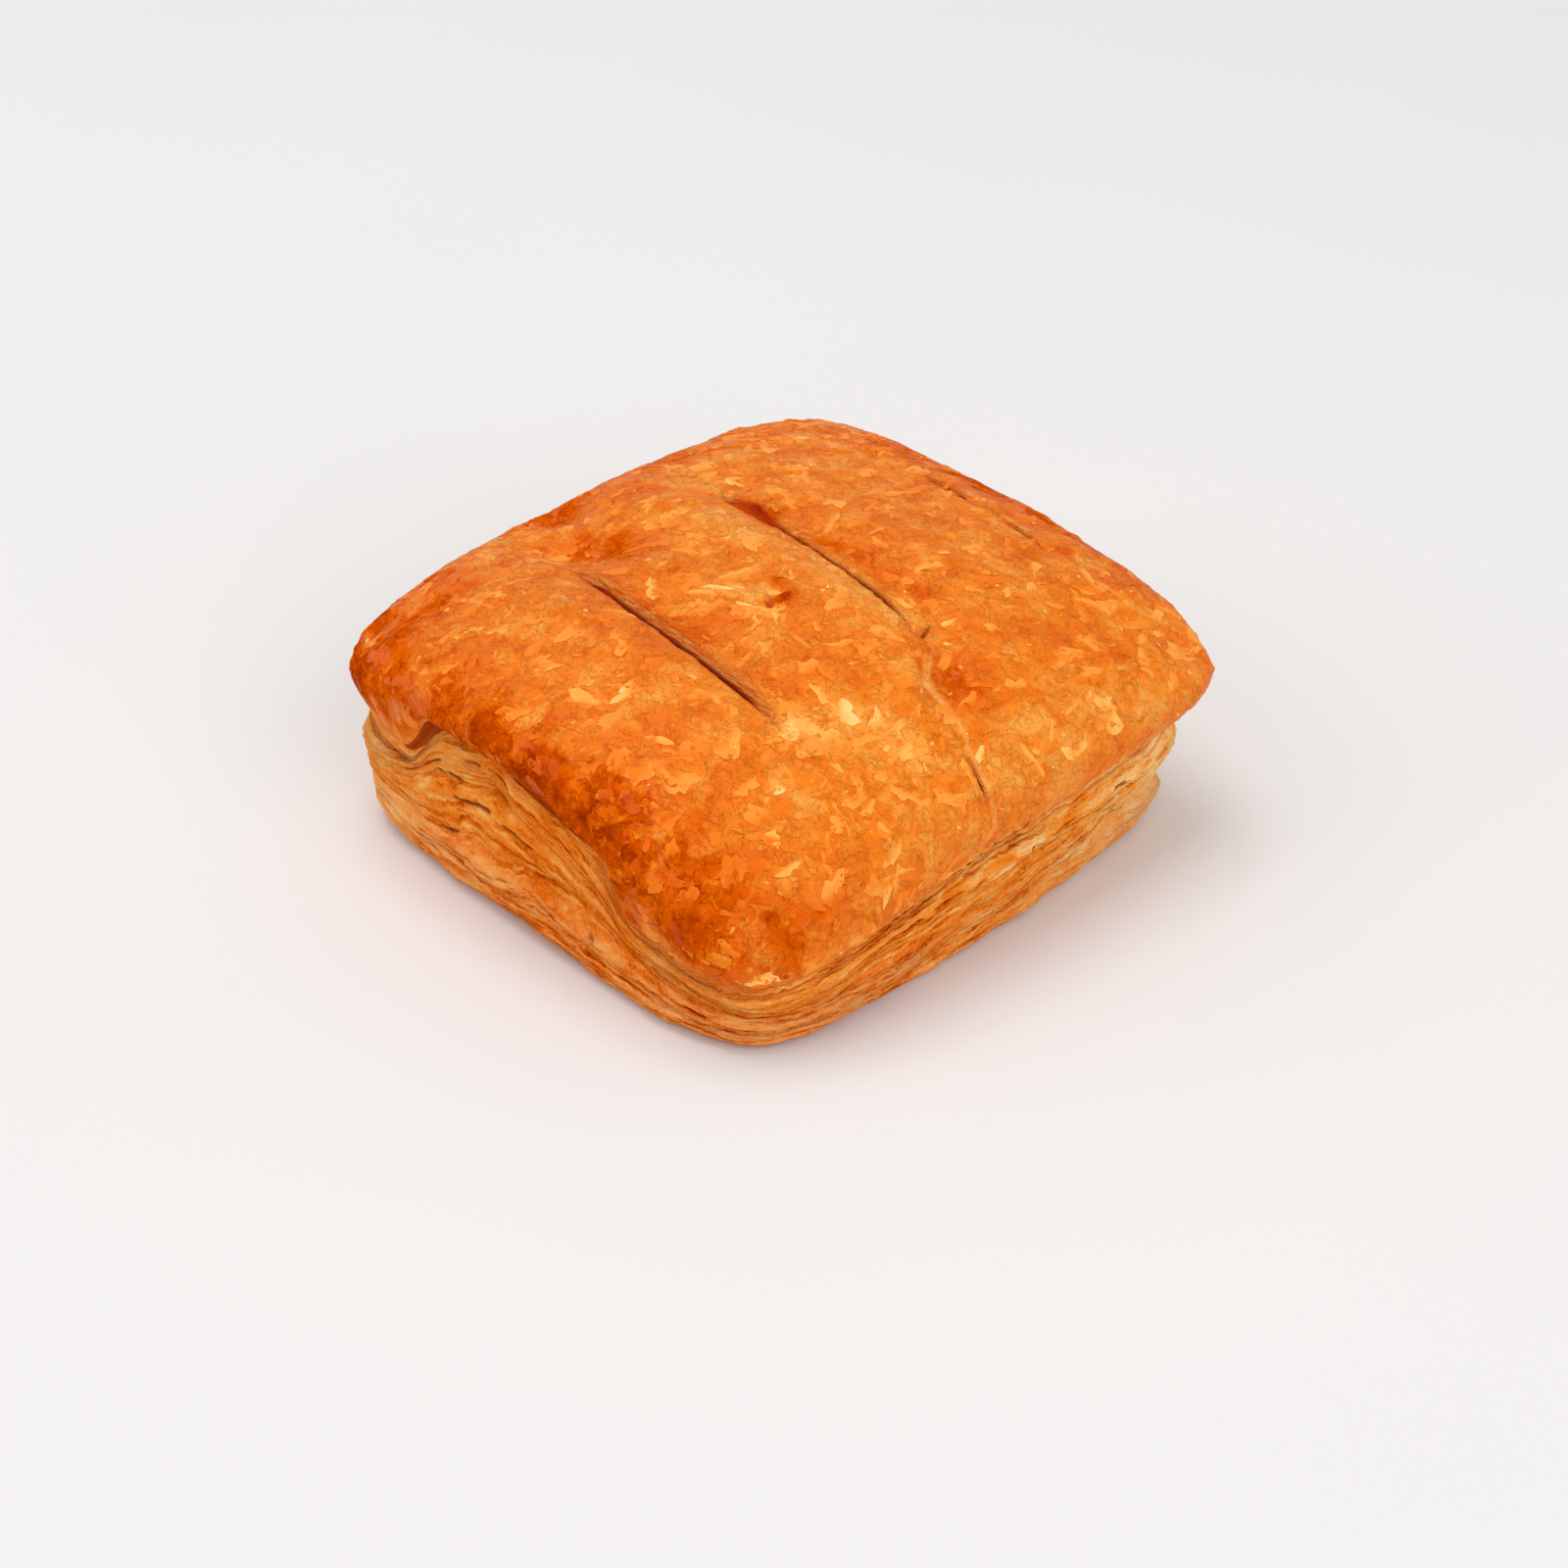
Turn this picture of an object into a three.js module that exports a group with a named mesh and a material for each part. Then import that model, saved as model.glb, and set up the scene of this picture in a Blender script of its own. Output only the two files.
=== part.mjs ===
// A square puff pastry: a risen pillow of dough under one egg-washed crust, with parallel
// die-cut slits through the crust and flaky layers standing out of its four sides.
// Millimetres, +z up, resting on z = 0. The slits run along x. The corners are called left
// (-x, -y), front (+x, -y), right (+x, +y) and back (-x, +y), as they lie when seen from the front.
import * as THREE from 'three';

// Driving dimensions of the whole pastry.
const LENGTH = 93.6;
const WIDTH = 98.8;
const CROWN_HEIGHT = 39.8;
const PLAN_POWER = 6.3;
const ROUNDING_POWER = 3;
const CORNER_PULL = { left: 0.7, front: 0.6, right: 1.9, back: 0.8 };
const CORNER_POWER = 6;
const CROWN_FALL = { right: 6.1, left: 1.4, away: 0.7, near: 2.1 };
const ROLL_START = 3.3;
const ROLL_ROUNDNESS = 2.5;

// Sizes round the rim. Each list has a value for the left corner, the left side, the front
// corner, the right side, the right corner, the far right side, the back corner and the far
// left side, and the rim blends smoothly between them.
const LIP_HEIGHT = [24.2, 28.0, 13.5, 19.8, 23.4, 31.0, 33.0, 31.6];
const CRUST_EDGE_HEIGHT = [19.6, 18.2, 10.6, 16.8, 20.3, 21.5, 22.5, 22.0];
const CRUST_EDGE_INSET = [0.9, 1.2, 0.8, 0.9, 2.0, 1.5, 1.5, 1.5];
const GROOVE_INSET = [2.3, 1.9, 1.4, 2.4, 5.7, 4.0, 4.0, 3.5];
const UPPER_LAYER_HEIGHT = [13.5, 13.5, 7.3, 11.5, 13.0, 13.0, 13.0, 13.0];
const UPPER_LAYER_INSET = [0.7, 1.5, 0.9, 0.9, 3.7, 2.0, 2.0, 1.5];
const WAIST_HEIGHT = [9.0, 9.6, 5.0, 7.2, 8.0, 8.5, 8.5, 8.5];
const WAIST_INSET = [1.2, 2.0, 1.6, 1.8, 6.7, 3.5, 3.5, 3.0];
const BASE_LAYER_INSET = [2.0, 0.4, 0.6, 1.4, 5.2, 2.5, 3.0, 2.5];
const FOOT_INSET = [5.0, 3.2, 3.2, 3.5, 8.0, 5.0, 5.5, 5.0];
const GROOVE_DROP = 1.5;

// Where the side's profile passes between those sizes, as shares of the way from one to the next.
const LIP_TURN = { inset: 0.35, height: 0.45 };
const BELOW_GROOVE = 0.55;
const ABOVE_WAIST = 0.6;
const BELOW_WAIST = { inset: 0.75, height: 0.7 };
const BASE_LAYER_HEIGHT = 0.45;
const FOOT_TURN = { inset: 0.4, height: 0.14 };

// The slits through the crust. Each one's near lip runs along x at y, with a slope and a bend
// from its middle, and the far lip stands a little higher, with a sloping torn wall below it.
const FRONT_SLIT = {
  from: -25, to: 28, middle: 2, y: -23.4, slope: -0.1, bend: 0.0026, gap: 2.5, depth: 2.6, step: 1.0,
};
const MIDDLE_SLIT = {
  from: -27, to: 23.5, middle: 0, y: 7.4, slope: -0.125, bend: 0, gap: 1.2, depth: 2.8, step: 0.6,
};
const BACK_SLIT = {
  from: -13, to: 20, middle: 3, y: 37.4, slope: -0.08, bend: 0, gap: 0.8, depth: 1.4, step: 0.4,
};
const SLITS = [FRONT_SLIT, MIDDLE_SLIT, BACK_SLIT];
const SLIT_END = { taper: 11, gapShare: 0.4 };
const SLIT_FLOOR = 0.25;
const SLIT_WALL = 0.6;
const CLOSED_LANE = { gap: 2.2, opened: 0.2 };
const STEP_REACH = 5;

// Part of the back slit has nearly closed again in the oven.
const HEALED = { from: -1, to: 12, taper: 3, share: 0.7 };

// The middle slit gapes where it starts, and runs on from its end to the rim as a crease
// that opens again just above the rim.
const MOUTH = { x: -18.5, reach: 11, steepness: 2.2, near: 1.2, far: 2.6 };
const CREASE = { from: 23.5, to: 31.5, shift: -6.4, depth: 1.0, width: 1.6 };
const RIM_SLIT = { from: 40.5, to: 46.6, depth: 1.0, taper: 2.2, gap: 0.7 };

// The slit in the left side lifts the crust's edge off the layers below it, and gapes most
// towards the left corner. At that corner the crust runs smoothly into the layers.
const SIDE_SLIT = { from: -27, to: 24, lift: 7.2, layerRise: 2.5, taper: 8 };
const SIDE_GAP = { x: -13, reach: 10, scoop: 1.6 };
const SOFT_CORNER = { turn: 0.16, reach: 0.36, inset: 0.6, drop: 2.0 };
const EDGE_SHARPNESS = 4;
const LEAST_CRUST = 1.5;

// Soft rises and hollows of the crust: centre, radii, turn of the long radius and height.
const RISES = [
  { x: 2, y: -29.5, rx: 27, ry: 4.5, turn: -0.06, height: 1.4 },
  { x: -4, y: 1.5, rx: 24, ry: 5, turn: -0.1, height: 1.4 },
  { x: 8, y: 20, rx: 24, ry: 6, turn: -0.1, height: 0.6 },
  { x: 5.5, y: -5.8, rx: 2.6, ry: 2.2, turn: 0, height: 1.3 },
];
const HOLLOWS = [
  { x: 1, y: -18.5, rx: 32, ry: 4.5, turn: -0.09, height: -1.6 },
  { x: 2, y: 10.5, rx: 34, ry: 4, turn: -0.12, height: -1.4 },
  { x: -29, y: -12, rx: 9, ry: 6, turn: 0.5, height: -3.6 },
  { x: -42, y: -6, rx: 7, ry: 5, turn: 0, height: -3.0 },
  { x: 30.5, y: 3.2, rx: 5.5, ry: 2.6, turn: -0.5, height: -1.7 },
  { x: 22.3, y: 5.6, rx: 1.5, ry: 1.3, turn: 0, height: -2.4 },
];
const BLISTERS = { count: 30, seed: 11, least: 3, most: 6.5, height: 0.55, spread: 0.85 };
const DRAW_MULTIPLIER = 16807;
const DRAW_MODULUS = 2147483647;
const RELIEF_FADE = 0.9;

// The flaky layers stand out of the sides in wavy ridges, every other ring further out.
const LAYER_RELIEF = 0.45;
const RING_STEP = 0.5;
const LAYER_WAVES = [{ turns: 3, size: 0.5 }, { turns: 7, size: 0.35 }, { turns: 17, size: 0.2 }];
const LAYER_SHIFT = 1.3;

// Mesh density: columns along x, rows between two neighbouring slits, rings down the sides.
const COLUMNS = 40;
const COLUMN_CROWDING = 0.55;
const ROWS_BETWEEN = [12, 11, 11, 5];
const SIDE_RINGS = 15;
const FOOT_HUB = new THREE.Vector3(3, 2, 0);

const HALF_LENGTH = LENGTH / 2;
const HALF_WIDTH = WIDTH / 2;
const { clamp, lerp, smoothstep } = THREE.MathUtils;

// Value of a rim list at a turn from 0 to 8, by a Catmull-Rom curve through its eight values.
function aroundRim(values, turn) {
  const count = values.length;
  const start = Math.floor(turn);
  const f = turn - start;
  const [before, from, to, after] = [-1, 0, 1, 2].map((k) => values[(start + k + count) % count]);
  const leaving = (to - before) / 2;
  const arriving = (after - from) / 2;
  return (2 * from - 2 * to + leaving + arriving) * f ** 3
    + (3 * to - 3 * from - 2 * leaving - arriving) * f ** 2 + leaving * f + from;
}

// Place on the rim, 0 at the left corner, 2 at the front, 4 at the right and 6 at the back,
// in the direction of a point (u, v) of the square from -1 to 1.
function rimTurn(u, v) {
  const reach = Math.max(Math.abs(u), Math.abs(v), 1e-9);
  const a = u / reach;
  const b = v / reach;
  if (b <= -1) return a + 1;
  if (a >= 1) return b + 3;
  if (b >= 1) return 5 - a;
  return (7 - b) % 8;
}

// Plan position of a point of the square, drawn in by inset from the outline.
function planPoint(u, v, inset = 0) {
  const reach = Math.max(Math.abs(u), Math.abs(v), 1e-6);
  const a = Math.abs(u) / reach;
  const b = Math.abs(v) / reach;
  const round = Math.max(a ** PLAN_POWER + b ** PLAN_POWER, 1e-6) ** (-1 / PLAN_POWER);
  const factor = 1 + (round - 1) * reach ** ROUNDING_POWER;
  const point = new THREE.Vector2((HALF_LENGTH - inset) * u * factor, (HALF_WIDTH - inset) * v * factor);
  const corners = { left: [-1, -1], front: [1, -1], right: [1, 1], back: [-1, 1] };
  for (const [name, [sx, sy]] of Object.entries(corners)) {
    const nearness = (clamp((1 + sx * u) / 2, 0, 1) * clamp((1 + sy * v) / 2, 0, 1)) ** CORNER_POWER;
    point.x += sx * CORNER_PULL[name] * nearness * Math.SQRT1_2;
    point.y += sy * CORNER_PULL[name] * nearness * Math.SQRT1_2;
  }
  return point;
}

// 1 between two ends and 0 outside them, with a soft step at each end.
function between(x, from, to, taper) {
  return smoothstep(x, from, from + taper) * (1 - smoothstep(x, to - taper, to));
}

// How far the side slit lifts the crust's edge, as a share from 0 to 1.
function sideSlitShare(turn) {
  if (turn >= 2) return 0;
  const x = (turn - 1) * HALF_LENGTH;
  return between(x, SIDE_SLIT.from, SIDE_SLIT.to, SIDE_SLIT.taper);
}

function crustEdgeHeight(turn) {
  return aroundRim(CRUST_EDGE_HEIGHT, turn) + SIDE_SLIT.lift * sideSlitShare(turn);
}

function lipHeight(turn) {
  return Math.max(aroundRim(LIP_HEIGHT, turn), crustEdgeHeight(turn) + LEAST_CRUST);
}

// How open a slit is at a place along x, as a share from 0 to 1.
function slitOpening(slit, x) {
  const open = between(x, slit.from, slit.to, SLIT_END.taper);
  if (slit !== BACK_SLIT) return open;
  return open * (1 - HEALED.share * between(x, HEALED.from, HEALED.to, HEALED.taper));
}

// How wide the middle slit's mouth gapes at a place along x, as a share from 0 to 1.
function mouthShare(x) {
  const fromWidest = (x - MOUTH.x) / MOUTH.reach;
  return Math.max(0, 1 - (fromWidest < 0 ? -MOUTH.steepness : 1) * fromWidest);
}

// Where a slit's near lip and far lip run at a place along x.
function slitLips(slit, x) {
  const open = between(x, slit.from, slit.to, SLIT_END.taper);
  const fromMiddle = x - slit.middle;
  const cut = slit.gap * lerp(SLIT_END.gapShare, 1, open);
  let near = slit.y + slit.slope * fromMiddle + slit.bend * fromMiddle ** 2;
  let gap = lerp(CLOSED_LANE.gap, cut, smoothstep(open, 0, CLOSED_LANE.opened));
  if (slit === MIDDLE_SLIT) {
    const mouth = mouthShare(x);
    near += CREASE.shift * smoothstep(x, CREASE.from, CREASE.to) - MOUTH.near * mouth;
    gap = lerp(gap, RIM_SLIT.gap, smoothstep(x, RIM_SLIT.from - 1, RIM_SLIT.from));
    gap += (MOUTH.near + MOUTH.far) * mouth;
  }
  return { near, far: near + gap };
}

// Depth of a slit's cut and height of its far lip at a point of the crust.
function slitRelief(slit, x, y) {
  const { near, far } = slitLips(slit, x);
  const open = slitOpening(slit, x);
  const across = (y - near) / (far - near);
  let depth = slit.depth * open;
  if (slit === MIDDLE_SLIT) {
    depth += RIM_SLIT.depth * between(x, RIM_SLIT.from, RIM_SLIT.to, RIM_SLIT.taper);
  }
  let relief = 0;
  if (across > 0 && across < 1) {
    relief -= depth * (across < SLIT_FLOOR ? across / SLIT_FLOOR : (1 - across) / (1 - SLIT_FLOOR));
  }
  if (across >= 1) relief += slit.step * open * Math.exp((far - y) / STEP_REACH);
  else if (across > 0) relief += slit.step * open * across;
  return relief;
}

function hump(shape, x, y) {
  const c = Math.cos(shape.turn);
  const s = Math.sin(shape.turn);
  const along = ((x - shape.x) * c + (y - shape.y) * s) / shape.rx;
  const across = ((y - shape.y) * c - (x - shape.x) * s) / shape.ry;
  return shape.height * Math.exp(-(along ** 2) - across ** 2);
}

// Low blisters scattered over the crust, the same ones each time.
function blisters() {
  let state = BLISTERS.seed;
  const draw = (low, high) => {
    state = (state * DRAW_MULTIPLIER) % DRAW_MODULUS;
    return lerp(low, high, state / DRAW_MODULUS);
  };
  return Array.from({ length: BLISTERS.count }, () => ({
    x: draw(-BLISTERS.spread, BLISTERS.spread) * HALF_LENGTH,
    y: draw(-BLISTERS.spread, BLISTERS.spread) * HALF_WIDTH,
    rx: draw(BLISTERS.least, BLISTERS.most),
    ry: draw(BLISTERS.least, BLISTERS.most),
    turn: draw(0, Math.PI),
    height: draw(-BLISTERS.height, BLISTERS.height),
  }));
}

const CRUST_SHAPES = [...RISES, ...HOLLOWS, ...blisters()];

// Height of the crust over a point of the square.
function crustPoint(u, v) {
  const { x, y } = planPoint(u, v);
  const reach = Math.max(Math.abs(u), Math.abs(v));
  const roll = ((1 - Math.abs(u) ** ROLL_START) * (1 - Math.abs(v) ** ROLL_START)) ** (1 / ROLL_ROUNDNESS);
  const right = Math.max(x / HALF_LENGTH, 0);
  const left = Math.max(-x / HALF_LENGTH, 0);
  const away = Math.max(y / HALF_WIDTH, 0);
  const near = Math.max(-y / HALF_WIDTH, 0);
  const crown = CROWN_HEIGHT - CROWN_FALL.right * right ** 2 - CROWN_FALL.left * left ** 2
    - CROWN_FALL.away * away ** 2 - CROWN_FALL.near * near ** 2;
  let relief = 0;
  for (const shape of CRUST_SHAPES) relief += hump(shape, x, y);
  for (const slit of SLITS) relief += slitRelief(slit, x, y);
  const creaseY = slitLips(MIDDLE_SLIT, x).near;
  const creaseValley = Math.exp(-(((y - creaseY) / CREASE.width) ** 2));
  relief -= CREASE.depth * smoothstep(x, CREASE.from, CREASE.to) * creaseValley;
  const lip = lipHeight(rimTurn(u, v));
  const fade = 1 - smoothstep(reach, RELIEF_FADE, 1);
  return new THREE.Vector3(x, y, lip + (crown - lip) * roll + relief * fade);
}

// 1 at the left corner, where the crust runs smoothly into the layers, and 0 away from it.
function softCornerShare(turn) {
  const fromCorner = (turn - SOFT_CORNER.turn + 12) % 8 - 4;
  return Math.exp(-((fromCorner / SOFT_CORNER.reach) ** EDGE_SHARPNESS));
}

// 1 where the slit in the left side gapes, and 0 away from it.
function sideGapShare(turn) {
  const fromGap = (turn - 1) * HALF_LENGTH - SIDE_GAP.x;
  return turn < 2 ? Math.exp(-((fromGap / SIDE_GAP.reach) ** EDGE_SHARPNESS)) : 0;
}

// The side's profile at a place on the rim, from the lip down to the foot, as inset and height.
function sideProfile(turn) {
  const share = sideSlitShare(turn);
  const soft = softCornerShare(turn);
  const lip = lipHeight(turn);
  const edge = crustEdgeHeight(turn);
  const edgeIn = aroundRim(CRUST_EDGE_INSET, turn) + SOFT_CORNER.inset * soft;
  const grooveIn = aroundRim(GROOVE_INSET, turn) + SIDE_GAP.scoop * sideGapShare(turn);
  const upper = aroundRim(UPPER_LAYER_HEIGHT, turn) + SIDE_SLIT.layerRise * share;
  const upperIn = aroundRim(UPPER_LAYER_INSET, turn);
  const waist = aroundRim(WAIST_HEIGHT, turn);
  const waistIn = aroundRim(WAIST_INSET, turn);
  const baseIn = aroundRim(BASE_LAYER_INSET, turn);
  const footIn = aroundRim(FOOT_INSET, turn);
  return [
    [0, lip],
    [LIP_TURN.inset * edgeIn, lerp(edge, lip, LIP_TURN.height)],
    [edgeIn, edge],
    [grooveIn, edge - GROOVE_DROP - SOFT_CORNER.drop * soft],
    [(grooveIn + upperIn) / 2, lerp(edge, upper, BELOW_GROOVE)],
    [upperIn, upper],
    [lerp(waistIn, upperIn, ABOVE_WAIST), (upper + waist) / 2],
    [waistIn, waist],
    [lerp(waistIn, baseIn, BELOW_WAIST.inset), BELOW_WAIST.height * waist],
    [baseIn, BASE_LAYER_HEIGHT * waist],
    [lerp(baseIn, footIn, FOOT_TURN.inset), FOOT_TURN.height * waist],
    [footIn, 0],
  ].map(([inset, height]) => new THREE.Vector3(inset, height, 0));
}

// In and out movement of the flaky layers on one ring of the sides, at a place on the rim.
function layerRelief(ring, turn) {
  const angle = (turn / 8) * 2 * Math.PI;
  let wave = ring % 2 ? RING_STEP : -RING_STEP;
  LAYER_WAVES.forEach(({ turns, size }, k) => {
    wave += size * Math.sin(turns * angle + ring * (LAYER_SHIFT + k));
  });
  return LAYER_RELIEF * wave;
}

// Lines of the square across y, at one column: they bunch along the lips of the slits.
function columnLines(u) {
  const x = u * HALF_LENGTH;
  const lines = [];
  let start = -1;
  SLITS.forEach((slit, k) => {
    const { near, far } = slitLips(slit, x);
    const lip = near / HALF_WIDTH;
    for (let i = 0; i < ROWS_BETWEEN[k]; i++) {
      const share = i / ROWS_BETWEEN[k];
      const rolled = 1 - Math.cos(share * Math.PI / 2);
      lines.push(lerp(start, lip, k === 0 ? rolled : share));
    }
    for (const share of [0, SLIT_FLOOR, SLIT_WALL]) lines.push(lerp(near, far, share) / HALF_WIDTH);
    start = far / HALF_WIDTH;
  });
  const last = ROWS_BETWEEN[SLITS.length];
  for (let i = 0; i <= last; i++) lines.push(lerp(start, 1, i / last));
  return lines;
}

const positions = [];
const triangles = [];

function addPoint(point) {
  positions.push(point.x, point.y, point.z);
  return positions.length / 3 - 1;
}

function addQuad(a, b, c, d) {
  triangles.push(a, b, c, a, c, d);
}

// The crust, a patch over the square with its outermost points on the lip. Each quad is split
// along the way to its nearest corner, where the crust is folded down.
function addCrust() {
  const grid = [];
  for (let i = 0; i <= COLUMNS; i++) {
    const even = -1 + 2 * i / COLUMNS;
    const u = lerp(even, Math.sin(even * Math.PI / 2), COLUMN_CROWDING);
    grid.push(columnLines(u).map((v) => ({ u, v, index: addPoint(crustPoint(u, v)) })));
  }
  for (let i = 0; i < COLUMNS; i++) {
    for (let j = 0; j < grid[0].length - 1; j++) {
      const corners = [grid[i][j], grid[i + 1][j], grid[i + 1][j + 1], grid[i][j + 1]];
      const towardsCorner = corners[0].u * corners[0].v < 0;
      if (towardsCorner) corners.push(corners.shift());
      addQuad(...corners.map(({ index }) => index));
    }
  }
  const last = grid[0].length - 1;
  return [
    ...grid.slice(0, COLUMNS).map((column) => column[0]),
    ...grid[COLUMNS].slice(0, last),
    ...grid.slice(1).reverse().map((column) => column[last]),
    ...grid[0].slice(1).reverse(),
  ];
}

// The layered sides, rings of points from the lip down to the foot, and the flat foot.
function addSides(rim) {
  const profiles = rim.map(({ u, v }) => new THREE.CatmullRomCurve3(sideProfile(rimTurn(u, v))));
  let above = rim.map(({ index }) => index);
  for (let ring = 1; ring <= SIDE_RINGS; ring++) {
    const inner = ring > 1 && ring < SIDE_RINGS;
    const below = rim.map(({ u, v }, k) => {
      const station = profiles[k].getPoint(ring / SIDE_RINGS);
      const inset = station.x - (inner ? layerRelief(ring, rimTurn(u, v)) : 0);
      const { x, y } = planPoint(u, v, inset);
      return addPoint(new THREE.Vector3(x, y, ring < SIDE_RINGS ? station.y : 0));
    });
    below.forEach((_, k) => {
      const next = (k + 1) % below.length;
      addQuad(above[k], below[k], below[next], above[next]);
    });
    above = below;
  }
  const hub = addPoint(FOOT_HUB);
  above.forEach((point, k) => triangles.push(point, hub, above[(k + 1) % above.length]));
}

addSides(addCrust());

const geometry = new THREE.BufferGeometry();
geometry.setAttribute('position', new THREE.Float32BufferAttribute(positions, 3));
geometry.setIndex(triangles);
geometry.computeVertexNormals();

const crustMaterial = new THREE.MeshStandardMaterial({ color: 0xdb8232, roughness: 0.5, metalness: 0 });
const pastry = new THREE.Mesh(geometry, crustMaterial);
pastry.name = 'pastry';

// The pastry is set down so that the middle of its outline lies over the origin.
const outline = new THREE.Box3().setFromBufferAttribute(geometry.getAttribute('position'));
const middle = outline.getCenter(new THREE.Vector3());
pastry.position.set(-middle.x, -middle.y, 0);

const root = new THREE.Group();
root.name = 'puff_pastry';
root.add(pastry);

export default root;
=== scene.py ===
import itertools
import math

import bpy
import numpy as np
from mathutils import Matrix, Vector
from mathutils.bvhtree import BVHTree


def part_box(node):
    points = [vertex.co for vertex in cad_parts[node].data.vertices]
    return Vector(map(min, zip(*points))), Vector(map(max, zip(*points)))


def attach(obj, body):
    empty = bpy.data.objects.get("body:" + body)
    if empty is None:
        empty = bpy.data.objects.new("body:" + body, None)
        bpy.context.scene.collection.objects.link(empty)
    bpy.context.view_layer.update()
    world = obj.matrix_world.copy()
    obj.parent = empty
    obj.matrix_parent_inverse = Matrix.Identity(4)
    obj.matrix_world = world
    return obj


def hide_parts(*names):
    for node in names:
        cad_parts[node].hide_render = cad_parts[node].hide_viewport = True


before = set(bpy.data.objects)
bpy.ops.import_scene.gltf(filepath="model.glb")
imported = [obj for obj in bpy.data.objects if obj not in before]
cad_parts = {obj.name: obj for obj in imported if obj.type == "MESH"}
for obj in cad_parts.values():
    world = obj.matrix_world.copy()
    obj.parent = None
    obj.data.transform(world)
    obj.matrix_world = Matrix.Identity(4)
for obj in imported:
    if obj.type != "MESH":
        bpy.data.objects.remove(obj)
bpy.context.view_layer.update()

# A square puff pastry on a pale floor. Sizes are in millimetres until a mesh is made.
# The slits run along x. Corners: left (-x, -y), front (+x, -y), right (+x, +y), back (-x, +y).
MM = 0.001
lowest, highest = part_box("pastry")

# Whole pastry. The corners swell a little past the sides.
SIDE_SHARE = 0.998
HALF_LENGTH = SIDE_SHARE * (highest.x - lowest.x) / 2 / MM
HALF_WIDTH = SIDE_SHARE * (highest.y - lowest.y) / 2 / MM
CROWN_HEIGHT = 39.8
PLAN_POWER = 6.3
ROUNDING_POWER = 3
CORNER_PULLS = [(-1, -1, 0.7), (1, -1, 0.6), (1, 1, 1.9), (-1, 1, 0.8)]
CORNER_POWER = 6
CROWN_FALL = {"right": 6.1, "left": 1.4, "away": 0.7, "near": 2.1}
ROLL_START = 3.3
ROLL_ROUNDNESS = 2.5

# Sizes round the rim: left corner, left side, front corner, right side, right corner, far right
# side, back corner and far left side, blended smoothly between.
LIP_HEIGHT = [24.2, 28.0, 13.5, 19.8, 23.4, 31.0, 33.0, 31.6]
CRUST_EDGE_HEIGHT = [19.6, 18.2, 10.6, 16.8, 20.3, 21.5, 22.5, 22.0]
CRUST_EDGE_INSET = [0.9, 1.2, 0.8, 0.9, 2.0, 1.5, 1.5, 1.5]
GROOVE_INSET = [2.3, 1.9, 1.4, 2.4, 5.7, 4.0, 4.0, 3.5]
UPPER_LAYER_HEIGHT = [13.5, 13.5, 7.3, 11.5, 13.0, 13.0, 13.0, 13.0]
UPPER_LAYER_INSET = [0.7, 1.5, 0.9, 0.9, 3.7, 2.0, 2.0, 1.5]
WAIST_HEIGHT = [9.0, 9.6, 5.0, 7.2, 8.0, 8.5, 8.5, 8.5]
WAIST_INSET = [1.2, 2.0, 1.6, 1.8, 6.7, 3.5, 3.5, 3.0]
BASE_LAYER_INSET = [2.0, 0.4, 0.6, 1.4, 5.2, 2.5, 3.0, 2.5]
FOOT_INSET = [5.0, 3.2, 3.2, 3.5, 8.0, 5.0, 5.5, 5.0]
GROOVE_DROP = 1.5
LEAST_CRUST = 1.5

# Shares that place the rest of a side's profile between those heights and insets.
LIP_TURN = {"inset": 0.35, "height": 0.45}
BELOW_GROOVE = 0.55
ABOVE_WAIST = 0.6
BELOW_WAIST = {"inset": 0.75, "height": 0.7}
BASE_LAYER_HEIGHT = 0.45
FOOT_TURN = {"inset": 0.4, "height": 0.14}

# The crust's ragged lower edge: waves for each step round the rim and how far they reach up and
# down, the same for the finer ones and for those that go in and out, and how far it hangs down.
RAGGED_EDGE = {"waves": 12, "height": 0.45, "finer": 3.1, "fine_height": 0.35,
               "inward": 1.7, "inset": 0.2, "drop": 0.2}

# Slits through the crust. A slit's near lip runs at y + slope * x + bend * x squared, with x from
# the slit's middle. The lists give the shape across the cut: the depth at each place, as shares of
# the full depth and gap, and the share of the slit's rows that lie before that place.
TORN = {"place": [0, 0.05, 0.25, 1], "depth": [0, 1, 0.92, 0], "share": [0, 0.12, 0.3, 1]}
STEEP = {"place": [0, 0.08, 0.4, 1], "depth": [0, 1, 0.95, 0], "share": [0, 0.15, 0.45, 1]}
# Each slit also gives the depth below which its cut is painted with shade.
FRONT_SLIT = {"from": -25, "to": 28, "middle": 2, "y": -23.4, "slope": -0.1, "bend": 0.0026,
              "gap": 2.5, "depth": 2.6, "step": 1.0, "shade_from": 0.95, "across": TORN}
MIDDLE_SLIT = {"from": -27, "to": 23.5, "middle": 0, "y": 7.4, "slope": -0.125, "bend": 0,
               "gap": 1.2, "depth": 2.8, "step": 0.6, "shade_from": 0.5, "across": STEEP}
BACK_SLIT = {"from": -13, "to": 20, "middle": 3, "y": 37.4, "slope": -0.08, "bend": 0,
             "gap": 0.8, "depth": 1.4, "step": 0.4, "shade_from": 0.35, "across": STEEP}
SLITS = [FRONT_SLIT, MIDDLE_SLIT, BACK_SLIT]

# Over what depth a cut's painted shade sets in, how its ends close, how wide its rows stay where it
# is closed, and how far the rise of its far side reaches.
SHADE_STEP = 0.4
SLIT_END = {"taper": 11, "gap_share": 0.4}
CLOSED_LANE = {"gap": 2.2, "opened": 0.2}
STEP_REACH = 5

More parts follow.
